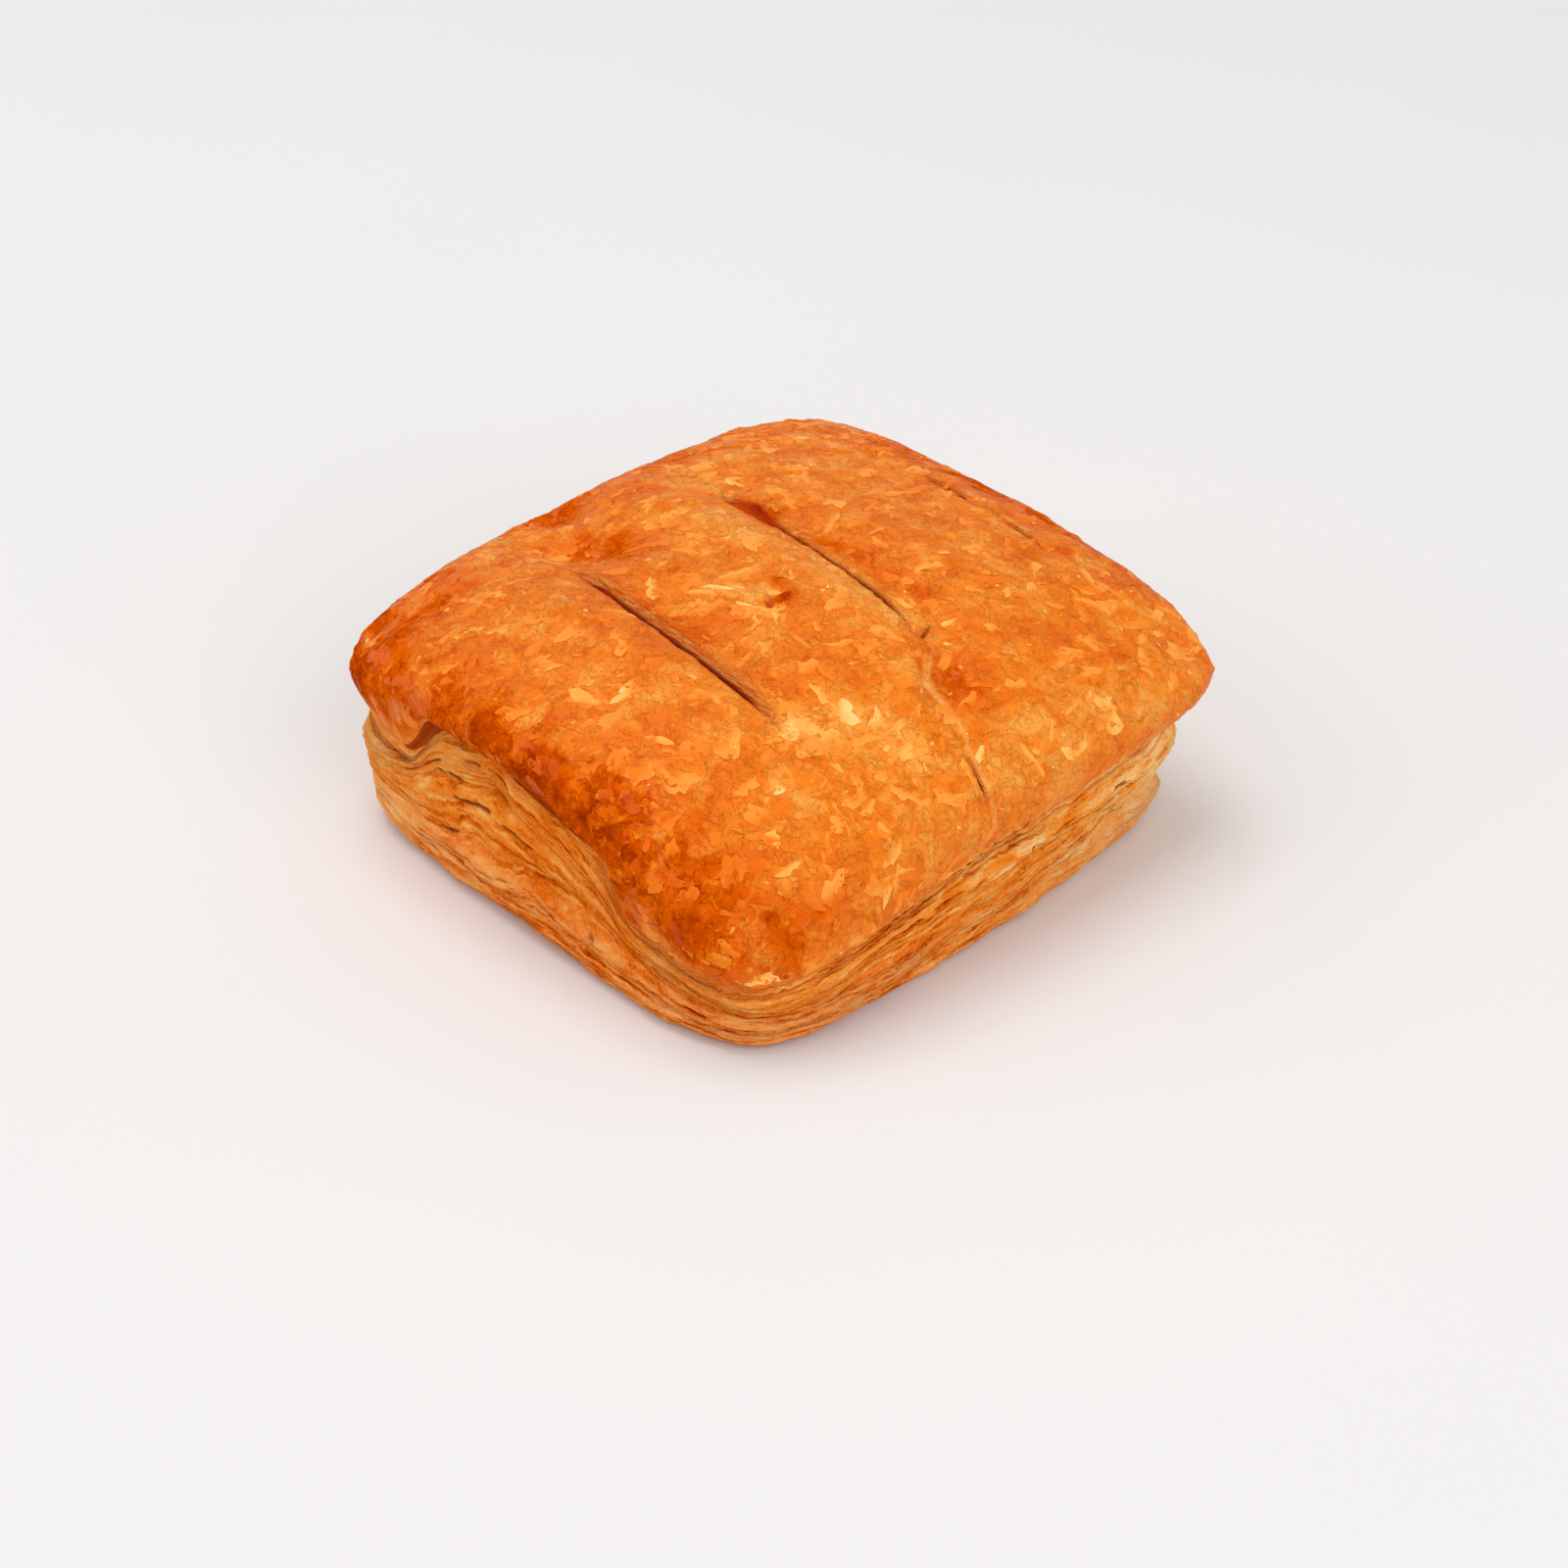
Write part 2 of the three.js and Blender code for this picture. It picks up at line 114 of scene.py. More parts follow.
# Where the back slit stayed nearly closed. Then the middle slit's open mouth, the crease and pale
# ridge that it runs on as, its opening at the rim, and the pit at its end.
HEALED = {"from": -1, "to": 12, "taper": 3, "share": 0.7}
MOUTH = {"x": -18.5, "reach": 11, "steepness": 2.2, "near": 1.2, "far": 2.6, "under": 0.5}
CREASE = {"from": 23.5, "to": 31.5, "folded": 28.5, "shift": -6.4, "off_middle": 0.4,
          "depth": 1.0, "width": 1.6}
RIDGE = {"height": 0.18, "off_crease": 0.3, "wide": 0.9, "thin": 0.45, "from": 28, "to": 40}
RIM_SLIT = {"from": 40.5, "to": 46.6, "margin": 1, "depth": 1.0, "taper": 2.2, "gap": 0.7}
# The notch at the middle slit's end is painted with shade, as strongly as its last value gives.
NOTCH = {"x": 22.2, "from": 5.4, "to": 9.0, "taper": 1.5, "depth": 0.9, "width": 0.55, "painted_shade": 0.75}

# The slit in the left side, where it gapes, and the corner where the crust has no lower edge.
SIDE_SLIT = {"from": -27, "to": 24, "lift": 7.2, "rise": 2.5, "taper": 8}
SIDE_GAP = {"x": -13, "reach": 10, "scoop": 1.6}
SOFT_CORNER = {"turn": 0.16, "reach": 0.36, "inset": 0.6, "drop": 2.0, "lower": 0.1,
               "fade": 6.0, "shift": 2.0}
EDGE_SHARPNESS = 4

# Soft rises and hollows of the crust: x, y, long radius, short radius, turn, height. The deepest part
# of the pit below is painted with shade.
PIT = (7.0, -8.2, 0.7, 0.45, 0.3, -1.3)
SWELLS = [
    (2, -29.5, 27, 4.5, -0.06, 1.4), (-4, 1.5, 24, 5, -0.1, 1.4), (1, -18.5, 32, 4.5, -0.09, -1.6),
    (2, 10.5, 34, 4, -0.12, -1.4), (-29, -12, 9, 6, 0.5, -3.6), (-42, -6, 7, 5, 0, -3.0),
    (30.5, 3.2, 5.5, 2.6, -0.5, -1.7), (22.3, 5.6, 1.5, 1.3, 0, -2.4), PIT,
    (3.4, -9.6, 3.2, 1.2, -0.4, 0.4), (-21, 38.6, 3, 1, -0.2, -1.0), (8, 20, 24, 6, -0.1, 0.6),
]

# A small blister, raised round its rim. Relief fades out from this share of the way to the lip.
KNOB = {"x": 5.5, "y": -5.8, "radius": 2.2, "width": 0.8, "height": 1.2}
RELIEF_FADE = 0.9

# Grid density: columns along x, rows between slits and across each slit, rings down the sides.
# Columns crowd towards both ends by a share, and the first rows towards the near side.
COLUMNS = 300
COLUMN_CROWDING = 0.3
ROW_CROWDING = 0.5
ROWS_BETWEEN = [72, 62, 60, 32]
SLIT_ROWS = 14
CRUST_RINGS = 12
LAYER_RINGS = 86
EDGE_STATION = 2
FOOT_STATION = 11
FOOT_HUB = (3.0, 2.0, 0.0)
SHEETS = 17
FAR_ABOVE_EDGE = 20

# Over what height above the floor the relief fades in, and where the relief of the layers goes
# over to that of the crust, from below to above the crust's edge.
FOOT_FADE = 0.8
EDGE_BLEND = (-0.2, 0.4)

# The noises' tables repeat after this many cells, a power of two.
TABLE_SIZE = 256
NOISE_GAIN = 1.6


def lerp(a, b, share):
    return a + (b - a) * share


def ease(x, start, end):
    """0 before start, 1 after end, and smooth between them."""
    share = np.clip((x - start) / (end - start), 0, 1)
    return share * share * (3 - 2 * share)


def between(x, start, end, taper):
    """1 between two ends and 0 outside them, with a soft step at each end."""
    return ease(x, start, start + taper) * (1 - ease(x, end - taper, end))


def catmull_rom(before, here, after, beyond, share):
    """Smooth curve from here to after, which also follows the values before and beyond them."""
    leaving = (after - before) / 2
    arriving = (beyond - here) / 2
    return ((2 * here - 2 * after + leaving + arriving) * share ** 3
            + (3 * after - 3 * here - 2 * leaving - arriving) * share ** 2 + leaving * share + here)


def around_rim(values, turn):
    """Catmull-Rom curve through the eight values of a rim list."""
    values = np.asarray(values, float)
    start = np.floor(turn).astype(int)
    before, here, after, beyond = (values[(start + k) % len(values)] for k in (-1, 0, 1, 2))
    return catmull_rom(before, here, after, beyond, turn - start)


def rim_turn(u, v):
    """Place on the rim from 0 to 8, in the direction of a point of the square."""
    reach = np.maximum(np.maximum(np.abs(u), np.abs(v)), 1e-9)
    a, b = u / reach, v / reach
    far_left = (7 - b) % 8
    return np.where(b <= -1, a + 1, np.where(a >= 1, b + 3, np.where(b >= 1, 5 - a, far_left)))


def turn_from(turn, centre):
    """How far round the rim from a centre, the shorter way, from -4 to 4."""
    return (turn - centre + 4) % 8 - 4


def plan_point(u, v, inset=0.0):
    """Plan position of points of the square from -1 to 1, drawn in from the outline."""
    reach = np.maximum(np.maximum(np.abs(u), np.abs(v)), 1e-6)
    a, b = np.abs(u) / reach, np.abs(v) / reach
    rounding = np.maximum(a ** PLAN_POWER + b ** PLAN_POWER, 1e-6) ** (-1 / PLAN_POWER)
    factor = 1 + (rounding - 1) * reach ** ROUNDING_POWER
    x = (HALF_LENGTH - inset) * u * factor
    y = (HALF_WIDTH - inset) * v * factor
    for side_x, side_y, pull in CORNER_PULLS:
        towards = np.clip((1 + side_x * u) / 2, 0, 1) * np.clip((1 + side_y * v) / 2, 0, 1)
        x = x + side_x * pull * towards ** CORNER_POWER * math.sqrt(0.5)
        y = y + side_y * pull * towards ** CORNER_POWER * math.sqrt(0.5)
    return x, y


def table_index(order, cells):
    """A repeatable random place in a noise's tables for each cell."""
    wrap = TABLE_SIZE - 1
    x, y, z = (cells & wrap).T
    return order[(order[(order[x] + y) & wrap] + z) & wrap]


def gradient_noise(points, seed):
    """Smooth noise between about -1 and 1 at an (n, 3) array of points."""
    draw = np.random.default_rng(seed)
    gradients = draw.normal(size=(TABLE_SIZE, 3))
    gradients /= np.linalg.norm(gradients, axis=1)[:, None]
    order = draw.permutation(TABLE_SIZE)
    cell = np.floor(points).astype(int)
    inside = points - cell
    fade = inside ** 3 * (inside * (inside * 6 - 15) + 10)
    total = np.zeros(len(points))
    for corner in itertools.product((0, 1), repeat=3):
        gradient = gradients[table_index(order, cell + corner)]
        weight = np.prod(np.where(np.array(corner) == 1, fade, 1 - fade), axis=1)
        total += weight * ((inside - corner) * gradient).sum(axis=1)
    return total * NOISE_GAIN


def layered_noise(points, seed, octaves=3):
    """Gradient noise with finer and weaker copies added to it."""
    return sum(gradient_noise(points * 2 ** k, seed + k) / 2 ** k for k in range(octaves))


def scales(points, size, seed):
    """Irregular cells: a random number for each point's cell, and where in it the point lies."""
    draw = np.random.default_rng(seed)
    order = draw.permutation(TABLE_SIZE)
    places = draw.random((TABLE_SIZE, 3))
    values = draw.random(TABLE_SIZE)
    spots = points / size
    cell = np.floor(spots).astype(int)
    nearest = np.full(len(points), np.inf)
    value = np.zeros(len(points))
    offset = np.zeros_like(points)
    for shift in itertools.product((-1, 0, 1), repeat=3):
        neighbour = cell + shift
        index = table_index(order, neighbour)
        away = spots - neighbour - places[index]
        distance = np.linalg.norm(away, axis=1)
        closer = distance < nearest
        nearest = np.where(closer, distance, nearest)
        value = np.where(closer, values[index], value)
        offset = np.where(closer[:, None], away, offset)
    return value, offset


def side_slit_share(turn):
    """1 along the side slit, falling to 0 at its ends."""
    x = (turn - 1) * HALF_LENGTH
    share = between(x, SIDE_SLIT["from"], SIDE_SLIT["to"], SIDE_SLIT["taper"])
    return np.where(turn < 2, share, 0)


def crust_edge_height(turn):
    return around_rim(CRUST_EDGE_HEIGHT, turn) + SIDE_SLIT["lift"] * side_slit_share(turn)


def lip_height(turn):
    return np.maximum(around_rim(LIP_HEIGHT, turn), crust_edge_height(turn) + LEAST_CRUST)


def mouth_share(x):
    """1 at the widest place of the middle slit's open mouth, 0 outside it. It gapes quickly at
    its left end and closes slowly to the right."""
    from_widest = (x - MOUTH["x"]) / MOUTH["reach"]
    away = np.where(from_widest < 0, -MOUTH["steepness"] * from_widest, from_widest)
    return np.clip(1 - away, 0, 1)


def slit_lips(slit, x):
    """Where a slit's near lip and far lip run, and how open it is."""
    opened = between(x, slit["from"], slit["to"], SLIT_END["taper"])
    from_middle = x - slit["middle"]
    near = slit["y"] + slit["slope"] * from_middle + slit["bend"] * from_middle ** 2
    open_gap = slit["gap"] * lerp(SLIT_END["gap_share"], 1, opened)
    gap = lerp(CLOSED_LANE["gap"], open_gap, ease(opened, 0, CLOSED_LANE["opened"]))
    if slit is MIDDLE_SLIT:
        mouth = mouth_share(x)
        margin = RIM_SLIT["margin"]
        at_rim = between(x, RIM_SLIT["from"] - margin, RIM_SLIT["to"] + margin, margin)
        shift = CREASE["shift"] * ease(x, CREASE["from"], CREASE["to"])
        near = near + shift - MOUTH["near"] * mouth
        gap = lerp(gap, RIM_SLIT["gap"], at_rim) + (MOUTH["near"] + MOUTH["far"]) * mouth
    if slit is BACK_SLIT:
        healed = between(x, HEALED["from"], HEALED["to"], HEALED["taper"])
        opened = opened * (1 - HEALED["share"] * healed)
    return near, near + gap, opened


def slit_cut(slit, x, y, lane):
    """How deep a slit cuts as a share of its full depth, the height that it adds to its far
    side, and its full depth here. The lane runs from 0 to 1 across the cut, -1 outside it."""
    near, far, opened = slit_lips(slit, x)
    depth = slit["depth"] * opened
    if slit is MIDDLE_SLIT:
        at_rim = between(x, RIM_SLIT["from"], RIM_SLIT["to"], RIM_SLIT["taper"])
        depth = depth + RIM_SLIT["depth"] * at_rim
    share = np.where(lane >= 0, np.interp(lane, slit["across"]["share"], slit["across"]["depth"]), 0)
    beyond = np.where(y >= far, np.exp(-np.maximum(y - far, 0) / STEP_REACH), 0)
    step = slit["step"] * opened * np.where(lane >= 0, lane, beyond)
    return share, step, depth


def swell(x, y, shape):
    """Height that one of the soft rises or hollows adds."""
    centre_x, centre_y, long_radius, short_radius, turn, height = shape
    along = ((x - centre_x) * math.cos(turn) + (y - centre_y) * math.sin(turn)) / long_radius
    across = ((y - centre_y) * math.cos(turn) - (x - centre_x) * math.sin(turn)) / short_radius
    return height * np.exp(-along ** 2 - across ** 2)


def crust_surface(u, v, lanes):
    """The crust over the square: x, y and height, and how much of it is torn wall, painted shade in the
    cuts, the notch and the pit, pale ridge of the crease, or glow in the middle slit's mouth."""
    x, y = plan_point(u, v)
    reach = np.maximum(np.abs(u), np.abs(v))
    along_x = np.clip(1 - np.abs(u) ** ROLL_START, 0, 1)
    along_y = np.clip(1 - np.abs(v) ** ROLL_START, 0, 1)
    roll = (along_x * along_y) ** (1 / ROLL_ROUNDNESS)
    right, left = np.maximum(x / HALF_LENGTH, 0), np.maximum(-x / HALF_LENGTH, 0)
    away, near = np.maximum(y / HALF_WIDTH, 0), np.maximum(-y / HALF_WIDTH, 0)
    crown = (CROWN_HEIGHT - CROWN_FALL["right"] * right ** 2 - CROWN_FALL["left"] * left ** 2
             - CROWN_FALL["away"] * away ** 2 - CROWN_FALL["near"] * near ** 2)
    relief = sum(swell(x, y, shape) for shape in SWELLS)
    from_knob = np.hypot(x - KNOB["x"], y - KNOB["y"])
    relief = relief + KNOB["height"] * np.exp(-((from_knob - KNOB["radius"]) / KNOB["width"]) ** 2)
    torn, painted_shade = np.zeros_like(x), np.zeros_like(x)
    for slit, lane in zip(SLITS, lanes):
        share, step, depth = slit_cut(slit, x, y, lane)
        relief = relief + step - depth * share
        open_here = ease(depth, 0.1, 0.6)
        torn = np.maximum(torn, open_here * ease(lane, 0.02, 0.1) * (1 - ease(lane, 0.9, 1)))
        # Deep in each cut the colour is painted shade.
        painted_shade = np.maximum(painted_shade, ease(share * depth, slit["shade_from"], slit["shade_from"] + SHADE_STEP))
    glow = np.where(lanes[1] >= 0, ease(mouth_share(x), 0.1, 0.45), 0)
    painted_shade = painted_shade * (1 - glow)
    from_notch = (x - NOTCH["x"]) / NOTCH["width"]
    notch = between(y, NOTCH["from"], NOTCH["to"], NOTCH["taper"]) * np.exp(-from_notch ** 2)
    relief = relief - NOTCH["depth"] * notch
    # The notch and the deepest part of the pit are painted with shade.
    painted_shade = np.maximum(painted_shade, NOTCH["painted_shade"] * ease(notch, 0.3, 0.9))
    painted_shade = np.maximum(painted_shade, ease(-swell(x, y, PIT), 0.5, 1.1))
    crease_near, crease_far, _ = slit_lips(MIDDLE_SLIT, x)
    crease_y = (crease_near + crease_far) / 2 + CREASE["off_middle"]
    folded = ease(x, CREASE["from"], CREASE["folded"])
    ridge_width = lerp(RIDGE["wide"], RIDGE["thin"], ease(x, RIDGE["from"], RIDGE["to"]))
    from_ridge = (y - crease_y - RIDGE["off_crease"]) / ridge_width
    ridge = folded * np.exp(-from_ridge ** 2) * (1 - painted_shade)
    relief = relief - CREASE["depth"] * folded * np.exp(-((y - crease_y) / CREASE["width"]) ** 2)
    relief = relief + RIDGE["height"] * ridge
    lip = lip_height(rim_turn(u, v))
    height = lip + (crown - lip) * roll + relief * (1 - ease(reach, RELIEF_FADE, 1))
    return x, y, height, torn, painted_shade, ridge, glow


def soft_corner_share(turn):
    """1 at the left corner, where the crust runs smoothly into the layers."""
    from_corner = turn_from(turn, SOFT_CORNER["turn"])
    return np.exp(-(from_corner / SOFT_CORNER["reach"]) ** EDGE_SHARPNESS)


def side_gap_share(turn):
    """1 where the side slit gapes."""
    from_gap = (turn - 1) * HALF_LENGTH - SIDE_GAP["x"]
    return np.exp(-(from_gap / SIDE_GAP["reach"]) ** EDGE_SHARPNESS) * (turn < 2)


def ragged_edge(turn):
    """How far the crust's lower edge wanders up, and how far in."""
    along = np.stack([turn * RAGGED_EDGE["waves"], turn * 0, turn * 0], 1)
    up = (RAGGED_EDGE["height"] * gradient_noise(along, 5)
          + RAGGED_EDGE["fine_height"] * gradient_noise(along * RAGGED_EDGE["finer"], 6))
    return up, RAGGED_EDGE["inset"] * gradient_noise(along * RAGGED_EDGE["inward"], 7)


def side_stations(turn):
    """The side's profile from the lip down to the foot, as rows of insets and of heights."""
    share = side_slit_share(turn)
    soft = soft_corner_share(turn)
    lip, edge = lip_height(turn), crust_edge_height(turn)
    wander_up, wander_in = ragged_edge(turn)
    calmer_over_slit = np.clip(1.2 - share, 0.5, 1)
    edge = edge + wander_up * (1 - soft) * calmer_over_slit - RAGGED_EDGE["drop"]
    edge_in = around_rim(CRUST_EDGE_INSET, turn) + wander_in + SOFT_CORNER["inset"] * soft
    groove_in = around_rim(GROOVE_INSET, turn) + SIDE_GAP["scoop"] * side_gap_share(turn)
    below_groove = BELOW_GROOVE + SOFT_CORNER["lower"] * soft
    upper = around_rim(UPPER_LAYER_HEIGHT, turn) + SIDE_SLIT["rise"] * share
    upper_in = around_rim(UPPER_LAYER_INSET, turn)
    waist, waist_in = around_rim(WAIST_HEIGHT, turn), around_rim(WAIST_INSET, turn)
    base_in, foot_in = around_rim(BASE_LAYER_INSET, turn), around_rim(FOOT_INSET, turn)
    stations = [
        (0 * turn, lip),
        (LIP_TURN["inset"] * edge_in, lerp(edge, lip, LIP_TURN["height"])),
        (edge_in, edge),
        (groove_in, edge - GROOVE_DROP - SOFT_CORNER["drop"] * soft),
        ((groove_in + upper_in) / 2, lerp(edge, upper, below_groove)),
        (upper_in, upper),
        (lerp(waist_in, upper_in, ABOVE_WAIST), (upper + waist) / 2),
        (waist_in, waist),
        (lerp(waist_in, base_in, BELOW_WAIST["inset"]), BELOW_WAIST["height"] * waist),
        (base_in, BASE_LAYER_HEIGHT * waist),
        (lerp(base_in, foot_in, FOOT_TURN["inset"]), FOOT_TURN["height"] * waist),
        (foot_in, 0 * turn),
    ]
    return np.array([inset for inset, _ in stations]), np.array([height for _, height in stations])


def station_curve(rows, at):
    """Value at a station number on a smooth curve through the stations' rows."""
    start = min(int(at), len(rows) - 2)
    before, beyond = rows[max(start - 1, 0)], rows[min(start + 2, len(rows) - 1)]
    return catmull_rom(before, rows[start], rows[start + 1], beyond, at - start)


def grid_lines():
    """The square's lines: u for each column, v for each column and row, with rows gathered
    across the slits, and for each slit how far across it every row lies, or -1."""
    even = np.linspace(-1, 1, COLUMNS + 1)
    u = lerp(even, np.sin(even * math.pi / 2), COLUMN_CROWDING)
    x = u * HALF_LENGTH
    mouth = mouth_share(x)
    between_slits = (-1, 0)
    lines, lanes = [], []
    start = np.full_like(x, -1)
    for number, slit in enumerate(SLITS):
        near, far, _ = slit_lips(slit, x)
        for share in np.arange(ROWS_BETWEEN[number]) / ROWS_BETWEEN[number]:
            rolled = 1 - math.cos(share * math.pi / 2)
            spread = lerp(share, rolled, ROW_CROWDING) if number == 0 else share
            lines.append(lerp(start, near / HALF_WIDTH, spread))
            lanes.append(between_slits)
        for share in np.arange(SLIT_ROWS) / SLIT_ROWS:
            place = np.interp(share, slit["across"]["share"], slit["across"]["place"])
            undercut = 0
            if slit is MIDDLE_SLIT:
                undercut = MOUTH["under"] * mouth * math.sin(math.pi * share) ** 2
            lines.append(lerp(near, far, place + undercut) / HALF_WIDTH)
            lanes.append((number, share))
        start = far / HALF_WIDTH
    for share in np.linspace(0, 1, ROWS_BETWEEN[-1] + 1):
        lines.append(lerp(start, 1, share))
        lanes.append(between_slits)
    v = np.stack(lines, 1)
    across = []
    for number in range(len(SLITS)):
        row = np.array([share if owner == number else -1 for owner, share in lanes])
        across.append(np.broadcast_to(row, v.shape))
    return np.broadcast_to(u[:, None], v.shape), v, across


class Shell:
    """The whole surface of the pastry as one grid of points, before it is split in pieces."""

    def __init__(self):
        u, v, lanes = grid_lines()
        x, y, z, torn, painted_shade, ridge, glow = crust_surface(u, v, lanes)
        index = np.arange(u.size).reshape(u.shape)
        rim = np.concatenate([index[:-1, 0], index[-1, :-1], index[:0:-1, -1], index[0, :0:-1]])
        corners = [index[:-1, :-1], index[1:, :-1], index[1:, 1:], index[:-1, 1:]]
        rim_u, rim_v = u.ravel()[rim], v.ravel()[rim]
        turn = rim_turn(rim_u, rim_v)
        insets, heights = side_stations(turn)
        stations = np.concatenate([
            np.linspace(0, EDGE_STATION, CRUST_RINGS + 1)[1:],
            np.linspace(EDGE_STATION, FOOT_STATION, LAYER_RINGS + 1)[1:],
        ])
        rings = []
        for at in stations:
            px, py = plan_point(rim_u, rim_v, station_curve(insets, at))
            rings.append(np.stack([px, py, np.maximum(station_curve(heights, at), 0)], 1))
        patch = np.stack([x.ravel(), y.ravel(), z.ravel()], 1)
        column = np.stack([patch[rim]] + rings)
        run = np.linalg.norm(np.diff(column, axis=0), axis=2).cumsum(axis=0)
        below_edge = run - run[CRUST_RINGS - 1]
        level = np.repeat((stations - EDGE_STATION) / (FOOT_STATION - EDGE_STATION), len(rim))
        flat, sides = np.zeros(u.size), np.zeros(level.size)
        fields = {
            "torn": (torn.ravel(), sides),
            "painted_shade": (painted_shade.ravel(), sides),
            "ridge": (ridge.ravel(), sides),
            "glow": (glow.ravel(), sides),
            "skin": (flat + FAR_ABOVE_EDGE, -below_edge.ravel()),
            "level": (flat, np.maximum(level, 0)),
            "turn": (flat, np.tile(turn, len(rings))),
            "rim_x": (flat, np.tile(patch[rim, 0], len(rings))),
            "rim_y": (flat, np.tile(patch[rim, 1], len(rings))),
        }
        self.points = np.concatenate([patch] + rings)
        self.fields = {name: np.concatenate(parts) for name, parts in fields.items()}
        crust_faces = [np.stack([c.ravel() for c in corners], 1)]
        layer_faces = []
        above = rim
        for number in range(len(rings)):
            below = u.size + number * len(rim) + np.arange(len(rim))
            strip = np.stack([above, below, np.roll(below, -1), np.roll(above, -1)], 1)
            (crust_faces if number < CRUST_RINGS else layer_faces).append(strip)
            above = below
        self.foot_ring = above
        self.crust_faces = np.concatenate(crust_faces)
        self.layer_faces = np.concatenate(layer_faces)

    def normals(self):
        """Which way the surface faces at each point."""
        total = np.zeros_like(self.points)
        for faces in (self.crust_faces, self.layer_faces):
            corners = self.points[faces]
            facing = np.cross(corners[:, 2] - corners[:, 0], corners[:, 3] - corners[:, 1])
            for k in range(4):
                for axis in range(3):
                    total[:, axis] += np.bincount(faces[:, k], facing[:, axis], len(total))
        return total / np.maximum(np.linalg.norm(total, axis=1), 1e-12)[:, None]


# Browner and paler areas of the crust, partly real browning and partly painted: painted shade in the
# troughs and hollows, painted light along the crests. Centre x, y, z, radii x, y, z, and how much
# browner.
BROWNING_AND_SHADING = [
    (-46, -47, 25, 17, 12, 14, 0.46), (8, -50, 27, 34, 7, 9, 0.4), (42, -43, 16, 9, 9, 8, 0.18),
    (30, -49, 19, 10, 6, 8, 0.16), (-27, -10, 37, 8, 5, 6, 0.2), (30, 3.0, 33.5, 6, 3.5, 4, 0.2),
    (2, -19.5, 38, 28, 2.5, 3, 0.14), (-46, 0, 30, 5, 34, 7, 0.24), (-34, -34, 36, 12, 12, 5, 0.08),
    (2, 11.5, 39, 30, 2.2, 3, 0.14), (0, 45, 35, 45, 5, 6, 0.16), (3.6, -4.2, 40, 1.8, 0.8, 3, 0.34),
    (7.8, -6.4, 40, 0.8, 1.6, 3, 0.34), (34, -16, 33, 9, 9, 7, -0.11), (-14, 2.5, 40, 14, 3.5, 4, -0.12),
    (10, 2, 39, 15, 4, 3, -0.14), (5.3, -6.2, 40, 1.7, 1.2, 3, -0.3), (3, -9, 40, 5, 1.5, 3, -0.14),
    (-28, 12, 38, 4, 3, 4, -0.16), (44, 10, 26, 5, 26, 6, -0.1), (7, -46, 33, 2, 3, 3.5, -0.1),
    (12.5, -48.5, 28.5, 2.4, 3, 3.5, -0.12), (18.5, -49, 24, 3, 3, 4, -0.08),
]
PLAIN_CRUST = 0.41

# How strongly the crust is mottled, and how much more where it is browner.
MOTTLED = (0.6, 2.4)

# Relief of the crust: size and height in millimetres. A scale leans along its tilt.
SOFT_SWELLS = {"size": 9, "height": 0.3}
BLISTERS = {"size": 3.1, "height": 0.2, "sharpness": 1.5}
GRAIN = {"size": 0.9, "height": 0.025}
LARGE_SCALES = {"size": 4.6, "height": 0.19, "least": 0.3, "tilt": (0.55, -0.7, 0.4)}
SMALL_SCALES = {"size": 2.1, "height": 0.1, "least": 0.2, "tilt": (0.4, -0.8, 0.3)}
FLATTER_IN_CUTS = 0.85

# Wrinkles of the crust: places as pairs of centre and radii, and their height.
CORNER_FOLDS = {"places": [((-44, -45, 24), (11, 9, 8))], "height": 0.35}
BACK_LINES = {"places": [((5, 37.8, 38), (9, 1.8, 6))], "height": 0.4}
MOUTH_FAN = {"places": [((-28, 12.5, 38), (3.5, 3.2, 6))], "height": 0.4}
DRAPES = {"places": [((33, -49, 19), (15, 5, 8)), ((13, -48, 29), (8, 5, 8))], "height": 0.3}


def nearness(points, centre, radii):
    """1 at a place's centre, falling to 0 outside its radii."""
    return np.exp(-(((points - centre) / radii) ** 2).sum(1))


def crust_wrinkles(points):
    """Height of the wrinkles: noise drawn out along the folds of each place."""
    sideways = (points[:, 0] - points[:, 1]) * math.sqrt(0.5)
    outward = (points[:, 0] + points[:, 1]) * math.sqrt(0.5)
    folds = gradient_noise(np.stack([sideways / 1.5, outward / 9, points[:, 2] / 9], 1), 53)
    lines = gradient_noise(points / (9, 0.8, 9), 55)
    fan = gradient_noise(points / (1.0, 5, 9), 57)
    drapes = gradient_noise(points / (1.2, 1.2, 8), 59)
    drapes += 0.5 * gradient_noise(points / (0.6, 0.6, 5), 60)
    total = np.zeros(len(points))
    for noise, kind in ((folds, CORNER_FOLDS), (lines, BACK_LINES), (fan, MOUTH_FAN), (drapes, DRAPES)):
        shares = [nearness(points, centre, radii) for centre, radii in kind["places"]]
        total += kind["height"] * noise * np.maximum.reduce(shares)
    return total


